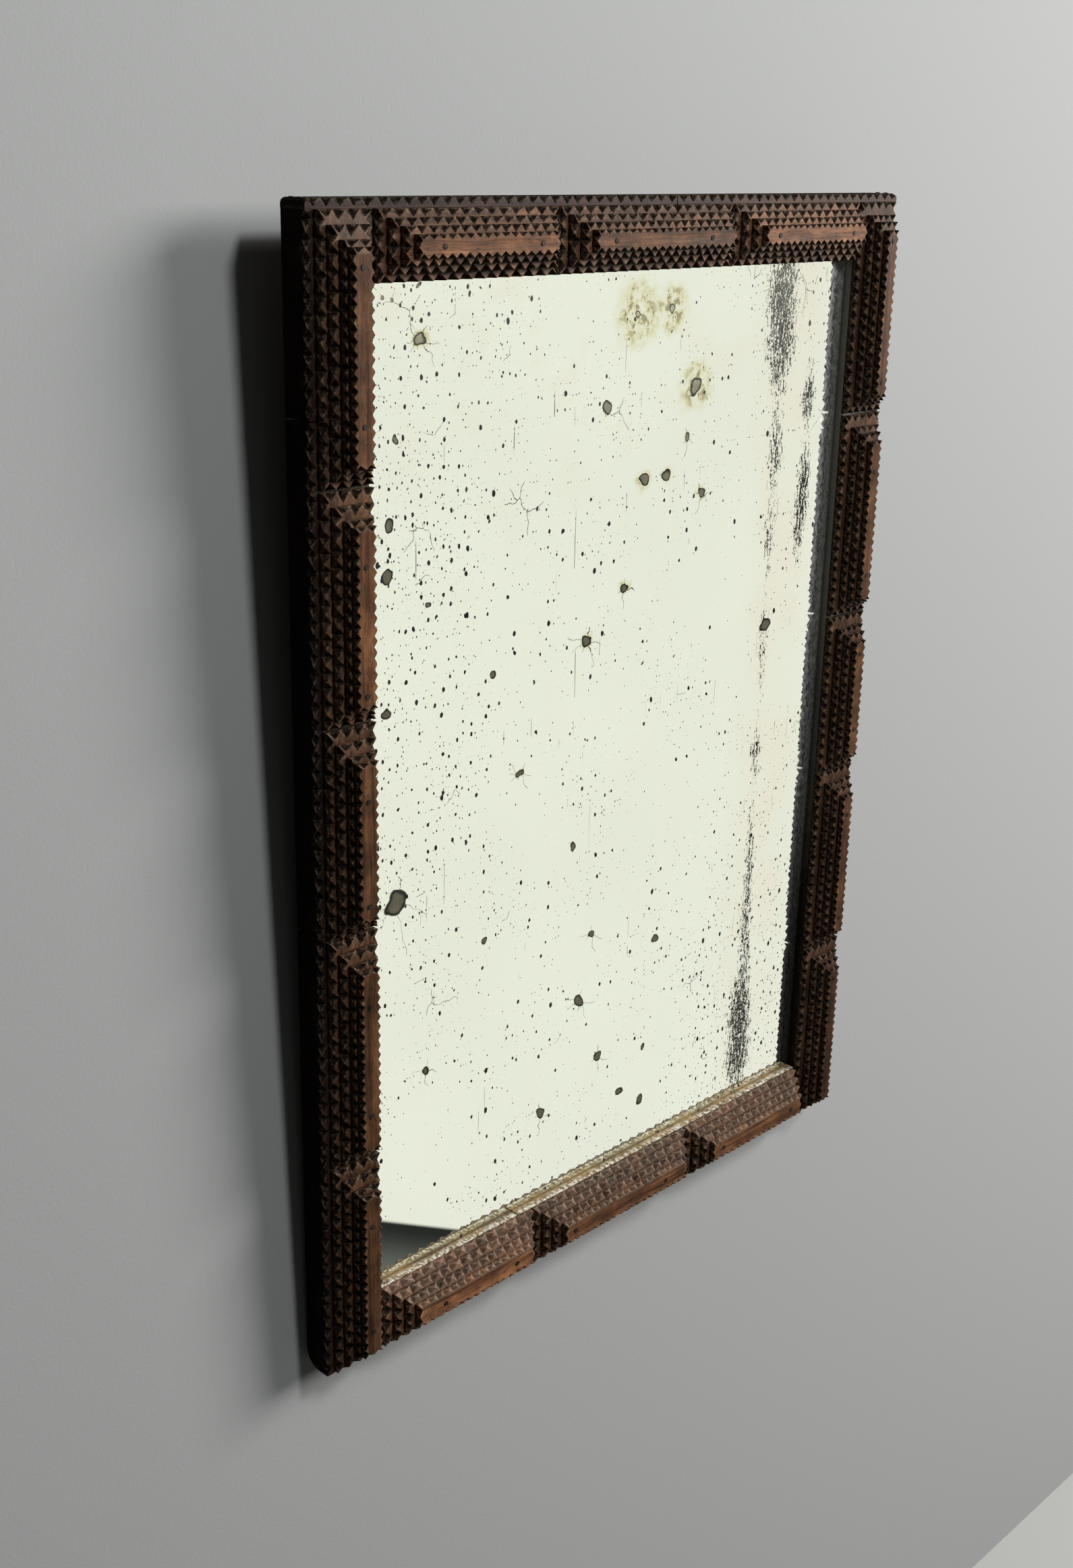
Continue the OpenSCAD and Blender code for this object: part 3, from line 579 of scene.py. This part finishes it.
# Cuts along a line: eight samples a notch, from tip to valley to tip. Depth on the face and on the
# edge follow a V, and both keep a little at the worn tips. Each tooth has a tone of its own.
def notchLine(length, pitch, rng):
    n = max(1, round(length / pitch))
    step = length / n
    tips = np.arange(n + 1) * step
    tips[1:-1] += knife["stray"] * step * rng.uniform(-1, 1, n - 1)
    valleys = (tips[:-1] + tips[1:]) / 2 + knife["lean"] * step * rng.uniform(-1, 1, n)
    deep = np.repeat(1 - knife["shallow"] * rng.random(n), 8)
    worn = knife["tipWear"] * rng.uniform(0.4, 1.8, n + 1)
    worn = np.where(rng.random(n + 1) < knife["chipped"], rng.uniform(0.15, 0.35, n + 1), worn)
    hand = rng.uniform(-1, 1, n + 1)
    worn, hand = (np.repeat(np.stack([v[:-1], v[1:]], 1), 4, 1).ravel() for v in (worn, hand))
    way = np.array([0, 0.13, 0.5, 0.9])
    down = tips[:-1, None] + (valleys - tips[:-1])[:, None] * way
    up = valleys[:, None] + (tips[1:] - valleys)[:, None] * way
    u = np.hstack([down, up]).ravel()
    tri = np.tile(np.hstack([way, 1 - way]), n)
    lost = worn * np.exp(-tri / 0.12)
    onFace = deep * (tri - 0.04 * np.exp(-(1 - tri) / 0.06)) + lost
    onEdge = deep * tri ** 0.92 + lost
    return u, tri, onFace, onEdge, 1 + knife["unlike"] * hand


# A profile across a cut: side face, softened edge, cut, softened edge, front face.
# s counts inwards from the side face, t outwards from the foot.
def cutProfile(onFace, onEdge, faceDepth, edgeDepth, thick, rng):
    bulge = rng.uniform(*knife["bulge"])
    s, t = faceDepth * onFace, edgeDepth * onEdge
    span = np.hypot(s, t) + 1e-9
    r = np.minimum(knife["edge"], 0.28 * span)
    us, ut = s / span, t / span
    rows = [
        (0 * s, 0 * s),
        (0 * s, np.maximum(thick - t - r, 0.1 * mm)),
        (us * r, thick - t + ut * r),
        (s / 2 - bulge * t, thick - t / 2 + bulge * s),
        (s - us * r, thick - ut * r),
        (s + r, np.full_like(s, thick)),
    ]
    return [np.array(column) for column in zip(*rows)]


# Marks over a cut edge from each row's shares of cut, wear, foot and tone. Wear grows by the square
# from the least in a valley to the whole share at a tip.
def cutMarks(shares, tri, tones, least):
    cut, wear, foot, tone = (np.outer(column, np.ones_like(tri)) for column in np.transpose(shares))
    wear = wear * (least + (1 - least) * (1 - tri) ** 2)
    marks = {"cut": cut, "wear": wear, "foot": foot, "tone": 1 + tone * (tones - 1)}
    return {key: values.ravel() for key, values in marks.items()}


# A place u along an edge, kept clear of both mitres by the neighbouring insets a and b
def squeezed(u, length, a, b):
    u = np.maximum(u, a + 0.1 * u)
    return length - np.maximum(length - u, b + 0.1 * (length - u))


dish = {"depth": 0.12 * mm, "wave": 21 * mm}  # slow unevenness of a face board


# A flat board notched round its front edge: the cuts' profile carried round the four edges, then a
# ring close behind the valleys and a last ring at the insets. Edges run counter-clockwise from the
# lower one. A dense board has its face filled by a grid that dips as sine times sine times waves.
def notchedBoard(area, yFoot, thick, pitch, depths, insets, rng, upright, dense):
    x0, z0, x1, z1 = area
    corners = np.array([(x0, z0), (x1, z0), (x1, z1), (x0, z1)])
    ways = np.array([(1, 0), (0, 1), (-1, 0), (0, -1)])
    inwards = np.roll(ways, -1, 0)
    lengths = [x1 - x0, z1 - z0, x1 - x0, z1 - z0]
    flats, heights, tris, tones, counts = [], [], [], [], []
    for e in range(4):
        u, tri, onFace, onEdge, tone = notchLine(lengths[e], pitch, rng)
        onFace = np.minimum(onFace, 0.8 * np.minimum(u, lengths[e] - u) / depths[e])  # clear of the mitres
        s, t = cutProfile(onFace, onEdge, depths[e], thick - knife["left"], thick, rng)
        along = np.clip(u, s, lengths[e] - s)
        flat = corners[e] + along[..., None] * ways[e] + s[..., None] * inwards[e]
        rings = []
        for far in (depths + knife["heel"], insets):
            at = squeezed(u, lengths[e], far[e - 1], far[(e + 1) % 4])
            rings.append(corners[e] + at[:, None] * ways[e] + far[e] * inwards[e])
        flats.append(np.concatenate([flat, np.array(rings)]))
        heights.append(np.concatenate([t, np.full((2, len(u)), thick)]))
        tris.append(tri)
        tones.append(tone)
        counts.append(len(u))
    flat, height = np.concatenate(flats, 1), np.concatenate(heights, 1)
    rows, cols = height.shape
    points = np.stack([flat[..., 0], yFoot - height, flat[..., 1]], -1).reshape(-1, 3)
    # shares of cut, wear, foot and tone, row by row from the foot to the inner ring; the foot share is
    # painted shade in the crevice against the board below
    shares = [(0, 0, 1, 1), (0, 0.3, 0.1, 1), (1, 1, 0, 1), (1, 0.05, 0, 1), (1, 1, 0, 1), (0, 0.3, 0, 1),
              (0, 0, 0, 0.6), (0, 0, 0, 0)]
    layers = cutMarks(shares, np.concatenate(tris), np.concatenate(tones), 0.2)
    grid = np.arange(rows * cols).reshape(rows, cols)
    faces = quads(grid, closed=True)
    faces.append(grid[0, ::-1].tolist())
    if dense:
        nx, nz = counts[:2]
        ring = grid[-1]
        field = np.full((nz + 1, nx + 1), -1)
        field[0, :nx] = ring[:nx]
        field[:nz, nx] = ring[nx:nx + nz]
        field[nz, nx:0:-1] = ring[nx + nz:2 * nx + nz]
        field[nz:0:-1, 0] = ring[2 * nx + nz:]
        fresh = (nz - 1) * (nx - 1)
        field[1:nz, 1:nx] = len(points) + np.arange(fresh).reshape(nz - 1, nx - 1)
        low, high = flat[-1].min(0), flat[-1].max(0)
        fx, fz = np.meshgrid(np.arange(1, nx) / nx, np.arange(1, nz) / nz)
        px = low[0] + fx * (high[0] - low[0])
        pz = low[1] + fz * (high[1] - low[1])
        waves = 0.5 + 0.5 * np.sin((pz if upright else px) / dish["wave"] + rng.uniform(0, 6))
        dip = dish["depth"] * waves * np.sin(fx * math.pi) * np.sin(fz * math.pi)
        more = np.stack([px, yFoot - thick + dip, pz], -1).reshape(-1, 3)
        points = np.concatenate([points, more])
        for key in layers:
            layers[key] = np.append(layers[key], np.full(fresh, 1.0 if key == "tone" else 0.0))
        faces += quads(field)
    else:
        faces.append(grid[-1].tolist())
    layers["grain"] = boardGrain(points, upright, rng)
    return points, faces, layers


# Board directions: along, across, through, each board cut from another place of the tree
def boardGrain(points, upright, rng):
    order = [2, 0, 1] if upright else [0, 2, 1]
    return points[:, order] + rng.uniform(-5, 5, 3)


# How dark a board is: its panel's share, partly the wood's own tone and partly painted shade, give or
# take a little from board to board
def boardTone(share, rng):
    return share * rng.uniform(0.87, 1.13)


panels = {
    # pitch: spacing of the notches in mm, from the lowest board up; places: share of the way from the
    # lowest to the face board at which each board's edges lie; tones: from the foot up and from the left,
    # lower on the sides and on the left towards the foot, partly the wood's own tone and partly painted shade
    # the wear factor of each side is raised on the bottom and top panels as painted highlight
    "sides": {
        "left": dict(pitch=[11.2, 11.0, 8.8, 7.4], places=[0, 0.41, 0.81, 1], wearAndHighlight=1.0,
                     tones=[0.44, 0.52, 0.48, 0.78, 0.62]),
        "right": dict(pitch=[9.0, 8.2, 8.2, 7.0], places=[0, 0.46, 0.70, 1], wearAndHighlight=1.0,
                      tones=[0.42, 0.46, 0.46, 0.46, 0.46]),
        "top": dict(pitch=[11.2, 10.4, 9.0, 7.6], places=[0, 0.35, 0.68, 1], wearAndHighlight=1.3,
                    tones=[0.88, 0.68, 0.88]),
        "bottom": dict(pitch=[10.8, 10.0, 9.0, 7.6], places=[0, 0.33, 0.67, 1], wearAndHighlight=1.8,
                       tones=[1.05, 0.75, 0.75]),
    },
    "faceCut": 3.3 * mm,
    "moved": {  # mm by which the two upright edges of the lowest and of the face board are moved
        "left": ((0, -2.2), (-0.8, 1.6)),
        "right": ((-4.6, 0), (0, 0)),
        "top3": ((0, -4.4), (0, 0)),
        "bottom3": ((0, -4.4), (0, 0)),
    },
    "levels": ["lowest", "second", "third", "face"],
    "dust": {"bottom1": 1.3, "bottom2": 1.3, "bottom3": 1.3, "left5": 0.8},  # along the upper edges: dust on left panel 5, painted light from the mirror on the bottom panels
    "litCut": 0.25,  # how far the cuts along the bottom panels' upper edges are darkened, lit from above
    "overlap": (0.5 * mm, 0.7 * mm),  # of the cuts and of the inner ring under the next board
    "faceRing": 0.8 * mm,
    "seed": 40,
}


# A node's box as x, z, x, z with the y of its back and its thickness
def flatBox(node):
    low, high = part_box(node)
    return np.array([low.x, low.z, high.x, high.z]), high.y, high.y - low.y


# One board of a panel: its outline lies between those of the lowest and the face board, its cuts
# reach under the next board if the spacing allows that depth
def panelBoard(opts, side, index, level, rng):
    lowest, foot, thick = flatBox(f"{side}_panel_{index}_lowest")
    top = flatBox(f"{side}_panel_{index}_face")[0]
    still = ((0, 0), (0, 0))
    atLowest, atFace = opts["moved"].get(side, opts["moved"].get(f"{side}{index}", still))
    lowest[[0, 2]] += np.array(atLowest) * mm
    top[[0, 2]] += np.array(atFace) * mm
    look = opts["sides"][side]
    places = look["places"]
    area = lowest + (top - lowest) * places[level]
    pitch = look["pitch"][level] * mm
    if level == 3:
        depths = np.full(4, opts["faceCut"])
        insets = depths + opts["faceRing"]
    else:
        steps = np.abs(top - lowest)[[1, 2, 3, 0]] * (places[level + 1] - places[level])
        depths = np.minimum(steps + opts["overlap"][0], knife["limit"] * pitch)
        insets = np.maximum(steps, depths) + opts["overlap"][1]
    points, faces, layers = notchedBoard(area, foot - level * thick, thick, pitch, depths, insets, rng,
                                         side in ("left", "right"), level == 3)
    layers["tone"] *= boardTone(look["tones"][index - 1], rng)
    # painted highlight on the bottom and top panels by a stronger wear
    layers["wear"] *= look["wearAndHighlight"]
    above = points[:, 2] > area[3] - insets[2]
    layers["dust"] = np.where(above, opts["dust"].get(f"{side}{index}", 0.0), 0.0)
    if side == "bottom":
        layers["cut"] *= np.where(above, opts["litCut"], 1.0)
    return points, faces, layers


# All panels, the boards drawn level by level; the second and the third boards of a side are one piece
def makePanels(opts):
    for s, (side, look) in enumerate(opts["sides"].items()):
        for level, word in enumerate(opts["levels"]):
            rng = np.random.default_rng(opts["seed"] + 10 * s + level)
            boards = [panelBoard(opts, side, i + 1, level, rng) for i in range(len(look["tones"]))]
            kind = "faceWood" if level == 3 else "panelWood"
            if level in (1, 2):
                makePiece(f"{side}Boards_{word}", *joined(boards), kind, f"{side}_{word}_boards")
                continue
            for i, board in enumerate(boards):
                makePiece(f"{side}Board{i + 1}_{word}", *board, kind, f"{side}_panel_{i + 1}_{word}")


makePanels(panels)
print("stepped panels made")


case = {
    "pitch": 10.8 * mm,
    "faceCut": 5.5 * mm,   # depth of a notch across the front edge
    "backCut": 4.2 * mm,   # depth of a notch back along the outer face
    "footRadius": 13 * mm,
    "endRadius": 3.5 * mm,
    "arris": 0.25 * mm,
    "sideDark": 0.9,       # how far the outer faces and the back are darkened, partly stain and partly painted shade
    # tones of the case's sides and top boards: partly the wood's own tone, partly painted shade
    "sideTone": 0.4,
    "topTones": (0.55, 0.9),
    "seed": 90,
}


# A case board whose front outer edge is notched. The section runs from the inner front corner over
# the cut to the outer face, round the back and home; q counts inwards from the outer face, p back
# from the front. The board runs from a to b along its length.
def caseBoard(a, b, thick, depth, rng, opts, backAt=None, topAt=None):
    u, tri, onFace, onEdge, tone = notchLine(b - a, opts["pitch"], rng)
    u, tri, tone = np.append(u, b - a), np.append(tri, 0), np.append(tone, tone[-1])
    onFace, onEdge = np.append(onFace, onFace[0]), np.append(onEdge, onEdge[0])
    s, t = cutProfile(onFace, onEdge, opts["faceCut"], opts["backCut"], 0.0, rng)
    back = depth if backAt is None else backAt(a + u)
    soft = opts["arris"]
    rim = onEdge * opts["backCut"] + knife["edge"]
    rows = [  # q, p and the shares of cut, wear, foot and tone
        (thick, soft, 0, 0, 0, 0),
        (thick - soft, 0, 0, 0, 0, 0),
        (s[5] + 0.2 * mm, 0, 0, 0, 0, 1),
        (s[5], 0, 0, 0.4, 0, 1),
        (s[4], -t[4], 1, 1, 0, 1),
        (s[3], -t[3], 1, 0.05, 0, 1),
        (s[2], -t[2], 1, 1, 0, 1),
        (0, rim, 0, 0.4, 0, 1),
        (0, rim + 0.6 * mm, 0, 0, 1, 0),
        (0, back - soft, 0, 0, 1, 0),
        (soft, back, 0, 0, 1, 0),
        (thick - soft, back, 0, 0, 0, 0),
        (thick, back - soft, 0, 0, 0, 0),
    ]
    q, p = (np.array([row[k] + 0 * u for row in rows]) for k in range(2))
    if topAt is not None:
        q = np.maximum(q, topAt(a + u))
    layers = cutMarks([row[2:] for row in rows], tri, tone, 0.25)
    layers["foot"] *= opts["sideDark"]
    grid = np.arange(q.size).reshape(q.shape)
    faces = quads(np.concatenate([grid, grid[:1]])) + [grid[:, 0].tolist(), grid[::-1, -1].tolist()]
    return q, p, a + u, faces, layers


# The sides, rounded at the foot of their back edge, and the top boards, rounded at the outer ends
def makeCase(opts):
    radius, endRadius = opts["footRadius"], opts["endRadius"]
    low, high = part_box("bottom_board")
    front, bottom, depth = low.y, low.z, -low.y
    leftX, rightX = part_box("left_side_foot")[0].x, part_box("right_side")[1].x

    # the back edge at height z, a quarter circle at the foot
    def backAt(z):
        rise = np.clip(radius - (z - bottom), 0, radius)
        return depth - radius + np.sqrt(radius ** 2 - rise ** 2)

    # how far a top board is drawn in at x, a quarter circle at either end
    def topAt(x):
        reach = np.clip(endRadius - np.minimum(x - leftX, rightX - x), 0, endRadius)
        return endRadius - np.sqrt(endRadius ** 2 - reach ** 2)

    # one board at its place, with its grain, its tone and neither dust nor painted light
    def place(name, node, x, y, z, faces, layers, upright, tone, rng):
        points = np.stack(np.broadcast_arrays(x, y, z), -1).reshape(-1, 3)
        layers["grain"] = boardGrain(points, upright, rng)
        layers["tone"] *= boardTone(tone, rng)
        layers["dust"] = np.zeros(len(points))
        makePiece(name, points, faces, layers, "caseWood", node)

    for i, node in enumerate(["left_side_foot", "left_side_middle", "left_side_head", "right_side"]):
        rng = np.random.default_rng(opts["seed"] + i)
        low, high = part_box(node)
        q, p, z, faces, layers = caseBoard(low.z, high.z, high.x - low.x, depth, rng, opts, backAt)
        if node == "right_side":
            x = high.x - q
        else:
            x = low.x + q
            faces = [f[::-1] for f in faces]
        name = "caseSide" + node.title().replace("_", "")
        place(name, node, x, front + p, z, faces, layers, True, opts["sideTone"], rng)
    for i, node in enumerate(["top_board_left", "top_board_right"]):
        rng = np.random.default_rng(opts["seed"] + 10 + i)
        low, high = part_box(node)
        q, p, x, faces, layers = caseBoard(low.x, high.x, high.z - low.z, depth, rng, opts, None, topAt)
        faces = [f[::-1] for f in faces]
        z = high.z - q
        place(f"caseTop{i + 1}", node, x, front + p, z, faces, layers, False, opts["topTones"][i], rng)


makeCase(case)
print("case made")


# A rounded rectangle carried along a board, drawn in at both ends over the same radius, with its
# faces dipping slowly by up to wave, and even marks
def plainBoard(low, high, axis, radius, wave, rng, stations=60):
    low, high = np.array(low), np.array(high)
    others = [k for k in range(3) if k != axis]
    bevel = radius * np.array([1, 0.29, 0])
    length = high[axis] - low[axis]
    l = np.concatenate([bevel[::-1], np.linspace(radius, length - radius, stations)[1:-1], length - bevel])
    pull = np.concatenate([bevel, np.zeros(stations - 2), bevel[::-1]])
    arcs = np.radians(np.add.outer([0, 90, 180, 270], [0, 30, 60, 90])).ravel()
    signs = np.repeat(np.array([(1, 1), (-1, 1), (-1, -1), (1, -1)]), 4, 0)
    half = (high[others] - low[others]) / 2
    middle = (high[others] + low[others]) / 2
    ring = signs * (half - radius) + radius * np.stack([np.cos(arcs), np.sin(arcs)], -1)
    phase = rng.uniform(0, 6, 4)
    dips = wave * (0.5 + 0.5 * np.sin(l[:, None] / (45 * mm) + phase)) * np.sin(np.pi * l / length)[:, None]
    section = ring[None] * ((half - pull[:, None] - dips[:, :2])[:, None] / half)
    points = np.zeros((len(l), 16, 3))
    points[..., axis] = low[axis] + l[:, None]
    points[..., others] = middle + section
    grid = np.arange(len(l) * 16).reshape(len(l), 16)
    faces = quads(grid, closed=True) + [grid[0, ::-1].tolist(), grid[-1].tolist()]
    points = points.reshape(-1, 3)
    even = np.ones(len(points))
    layers = {"cut": 0 * even, "wear": restWear * even, "foot": 0 * even, "tone": even, "dust": 0 * even}
    layers["grain"] = boardGrain(points, axis == 2, rng)
    return points, faces, layers


plain = {
    # axis that the board runs along, edge radius and slow unevenness of its faces in mm, wood, and
    # how many mm its left, its right and its upper end are moved
    "left_ground": (2, 0.35, 0.1, "sootedWood", 0, -7.0, 0),
    "right_ground": (2, 0.35, 0.1, "greyedWood", 2.5, 0, 0),
    "top_ground": (0, 0.35, 0.1, "sootedWood", -7.0, 0, 0),
    "bottom_ground_left": (0, 0.35, 0.1, "groundWood", -7.0, 0, 0.9),
    "bottom_ground_right": (0, 0.35, 0.1, "groundWood", 0, 0, 0.9),
    "bottom_board": (0, 0.6, 0.15, "caseWood", 0, 0, 0),
}
lips = {
    "arris": 0.7 * mm,      # width and depth of the arris in front of the glass, paler by wear and painted highlight
    "wearAndHighlight": 1.6,
    "edge": 1 * mm,         # the right ground is grey on this strip beside the glass
    "greyed": -0.12,        # down to this height, and from there it blackens
    "fade": 0.3,
}
planks = {"count": 3, "gap": 0.3 * mm, "edge": 0.8 * mm, "wave": 0.25 * mm}
restWear = 0.35


# The ground boards, marked at the edges that show, the bottom board, and the planks side by side
def makePlain(opts, lips, planks):
    for i, (node, (axis, radius, wave, kind, left, right, upper)) in enumerate(opts.items()):
        low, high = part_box(node)
        low.x += left * mm
        high.x += right * mm
        high.z += upper * mm
        rng = np.random.default_rng(200 + i)
        points, faces, layers = plainBoard(low, high, axis, radius * mm, wave * mm, rng)
        x, y, z = points.T
        if node == "right_ground":
            fade = np.clip((lips["greyed"] - z) / lips["fade"], 0, 1)
            layers["foot"] = np.where(x > low.x + lips["edge"], 1.0, fade)
        if node.startswith("bottom_ground"):
            atArris = (z > high.z - 0.5 * mm) & (y < low.y + lips["arris"])
            layers["wear"] = np.where(atArris, lips["wearAndHighlight"], 0.0)
        makePiece("plain_" + node, points, faces, layers, kind, node)
    low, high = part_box("back_planks")
    count, gap = planks["count"], planks["gap"]
    width = (high.x - low.x - gap * (count - 1)) / count
    boards = []
    for i in range(count):
        x = low.x + i * (width + gap)
        ends = (x, low.y, low.z), (x + width, high.y, high.z)
        boards.append(plainBoard(*ends, 2, planks["edge"], planks["wave"], np.random.default_rng(220 + i)))
    makePiece("backPlanks", *joined(boards), "plankWood", "back_planks")


makePlain(plain, lips, planks)
print("plain boards made")

kept = {
    "silveredGlass": ["mirror_glass"],
    "nailSteel": ["panel_nails", "case_nails"],
    "hangerSteel": ["hanger_straps", "hanger_screws", "left_ring", "right_ring"],
}
for material, nodes in kept.items():
    for node in nodes:
        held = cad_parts[node].data.materials
        held.clear()
        held.append(mats[material])


stage = {
    "reach": (-6, 8),       # x of the wall's and the floor's ends
    "front": -6,            # y of the floor's front
    "top": 4,               # z of the wall's top
    "gap": 1.5 * mm,        # between the frame's foot and the wall
    "wallColour": (0.515, 0.52, 0.52),
    "floorColour": (0.62, 0.62, 0.60),
    "lean": 2.1,            # degrees that the wall falls back from the frame's own plane
    "floorDrop": 0.80,      # metres from the frame's foot down to the floor
    "ambient": 0.010,
    "bounce": 0.25,         # share of their light that wall and floor hand on
    "seen": (0.92, 0.93, 0.90),
    "shadeEdge": (0.683, -1.088, 34.9),  # a point on the edge of the floor's shade and its turn from +Y
    "shade": (0.16, 0.17, 0.17),
    "fainter": 0.2,         # share of the pale room seen in what is less smooth than the mirror
}


# Dull paint with a fine noise bump. Light that it hands on is cut to the share "bounce" by mixing in
# black for all rays but the camera's and the mirror's.
def matte(name, colour, bump):
    mat, n, bsdf = newMaterial(name)
    rough = n.bump(n.noise(n.objectPlace(), 480.0, 2.0, 0.5), 0.35, bump)
    n.fill(bsdf, {"Base Color": colour, "Roughness": 0.85, "Specular IOR Level": 0.2, "Normal": rough})
    path = n.add("LightPath").outputs
    blurred = n.minus(path["Is Glossy Ray"], path["Is Singular Ray"], clamp=True)
    swallowed = n.times(n.most(path["Is Diffuse Ray"], blurred), 1 - stage["bounce"])
    black = n.add("BsdfDiffuse", Color=(0, 0, 0)).outputs[0]
    return mat, n, n.mixShader(swallowed, bsdf.outputs[0], black)


# A flat sheet from one y and z to another, over the stage's whole reach, clear when seen from behind
def sheet(name, first, last, mat, n, shader):
    side = n.add("NewGeometry").outputs["Backfacing"]
    clear = n.add("BsdfTransparent").outputs[0]
    n.fill(n.tree.nodes["Material Output"], {"Surface": n.mixShader(side, shader, clear)})
    mesh = bpy.data.meshes.new(name)
    left, right = stage["reach"]
    corners = [(left, *first), (right, *first), (right, *last), (left, *last)]
    mesh.from_pydata(corners, [], [(0, 1, 2, 3)])
    mesh.materials.append(mat)
    obj = linked(name, mesh)
    return obj


# Wall plane leaning back from the frame's foot, level floor below it, and a pale world. In the
# mirror the floor shows as pale as the world, but for a strip of shade beside the wall.
def makeStage(opts):
    foot = cadLow.z
    slope = math.tan(math.radians(opts["lean"]))
    floor = foot - opts["floorDrop"]
    base, top = ((opts["gap"] + (z - foot) * slope, z) for z in (floor, opts["top"]))
    wall = sheet("wall", base, top, *matte("wallPaint", opts["wallColour"], 0.3 * mm))
    wall.visible_shadow = False

    mat, n, shader = matte("floorPaint", opts["floorColour"], 0.2 * mm)
    edgeX, edgeY, turn = opts["shadeEdge"]
    turn = math.radians(turn)
    across = (math.cos(turn), -math.sin(turn), 0)
    beyond = n.vec("DOT_PRODUCT", n.vec("SUBTRACT", n.objectPlace(), (edgeX, edgeY, 0)), across)
    shade = n.mix(n.ramp(beyond, -0.16, -0.01, 1.0, 0.15), (0, 0, 0), opts["shade"])
    glow = n.add("Emission", Color=n.mix(n.ramp(beyond, -0.006, 0.006), shade, opts["seen"])).outputs[0]
    path = n.add("LightPath").outputs
    mirrored = n.times(path["Is Singular Ray"], n.math("LESS_THAN", path["Diffuse Depth"], 0.5))
    sheet("floor", (opts["front"], floor), base, mat, n, n.mixShader(mirrored, shader, glow))

    world = bpy.data.worlds.new("room")
    scene.world = world
    world.use_nodes = True
    n = Nodes(world.node_tree)
    path = n.add("LightPath").outputs
    # the pale room shows in the mirror and, fainter, in what is less smooth, but lights nothing
    sharp = n.ramp(path["Is Singular Ray"], 0.0, 1.0, opts["fainter"], 1.0)
    glossy = n.times(path["Is Glossy Ray"], sharp, n.math("LESS_THAN", path["Diffuse Depth"], 0.5))
    seen = n.most(path["Is Camera Ray"], n.most(glossy, path["Is Transmission Ray"]))
    n.fill(n.tree.nodes["Background"], {"Color": n.mix(seen, [opts["ambient"]] * 3, opts["seen"])})


makeStage(stage)

lampAim = Vector((0, 0, -0.2))
lamps = {
    "window": dict(place=(3.66, -2.35, 1.33), size=2.0, power=215, colour=(1.0, 0.985, 0.96)),
    "ceiling": dict(place=(0.25, -1.75, 1.50), size=0.4, power=20, colour=(0.94, 0.985, 0.98)),
    # lights the back, through the wall, and is not handed on by it
    "behind": dict(place=(0.5, 2.2, 0.7), size=1.6, power=14, colour=(1.0, 0.98, 0.96), bounces=0),
}


# Round area lamps, all aimed at one point near the frame's middle
def makeLamps(opts):
    for name, look in opts.items():
        data = bpy.data.lights.new(name, "AREA")
        data.shape, data.size, data.energy, data.color = "DISK", look["size"], look["power"], look["colour"]
        obj = linked(name, data)
        obj.location = look["place"]
        aim = lampAim - Vector(look["place"])
        obj.rotation_euler = aim.to_track_quat("-Z", "Y").to_euler()
        obj.visible_camera = False
        data.cycles.max_bounces = look.get("bounces", 1024)


makeLamps(lamps)
print("stage and lamps made")
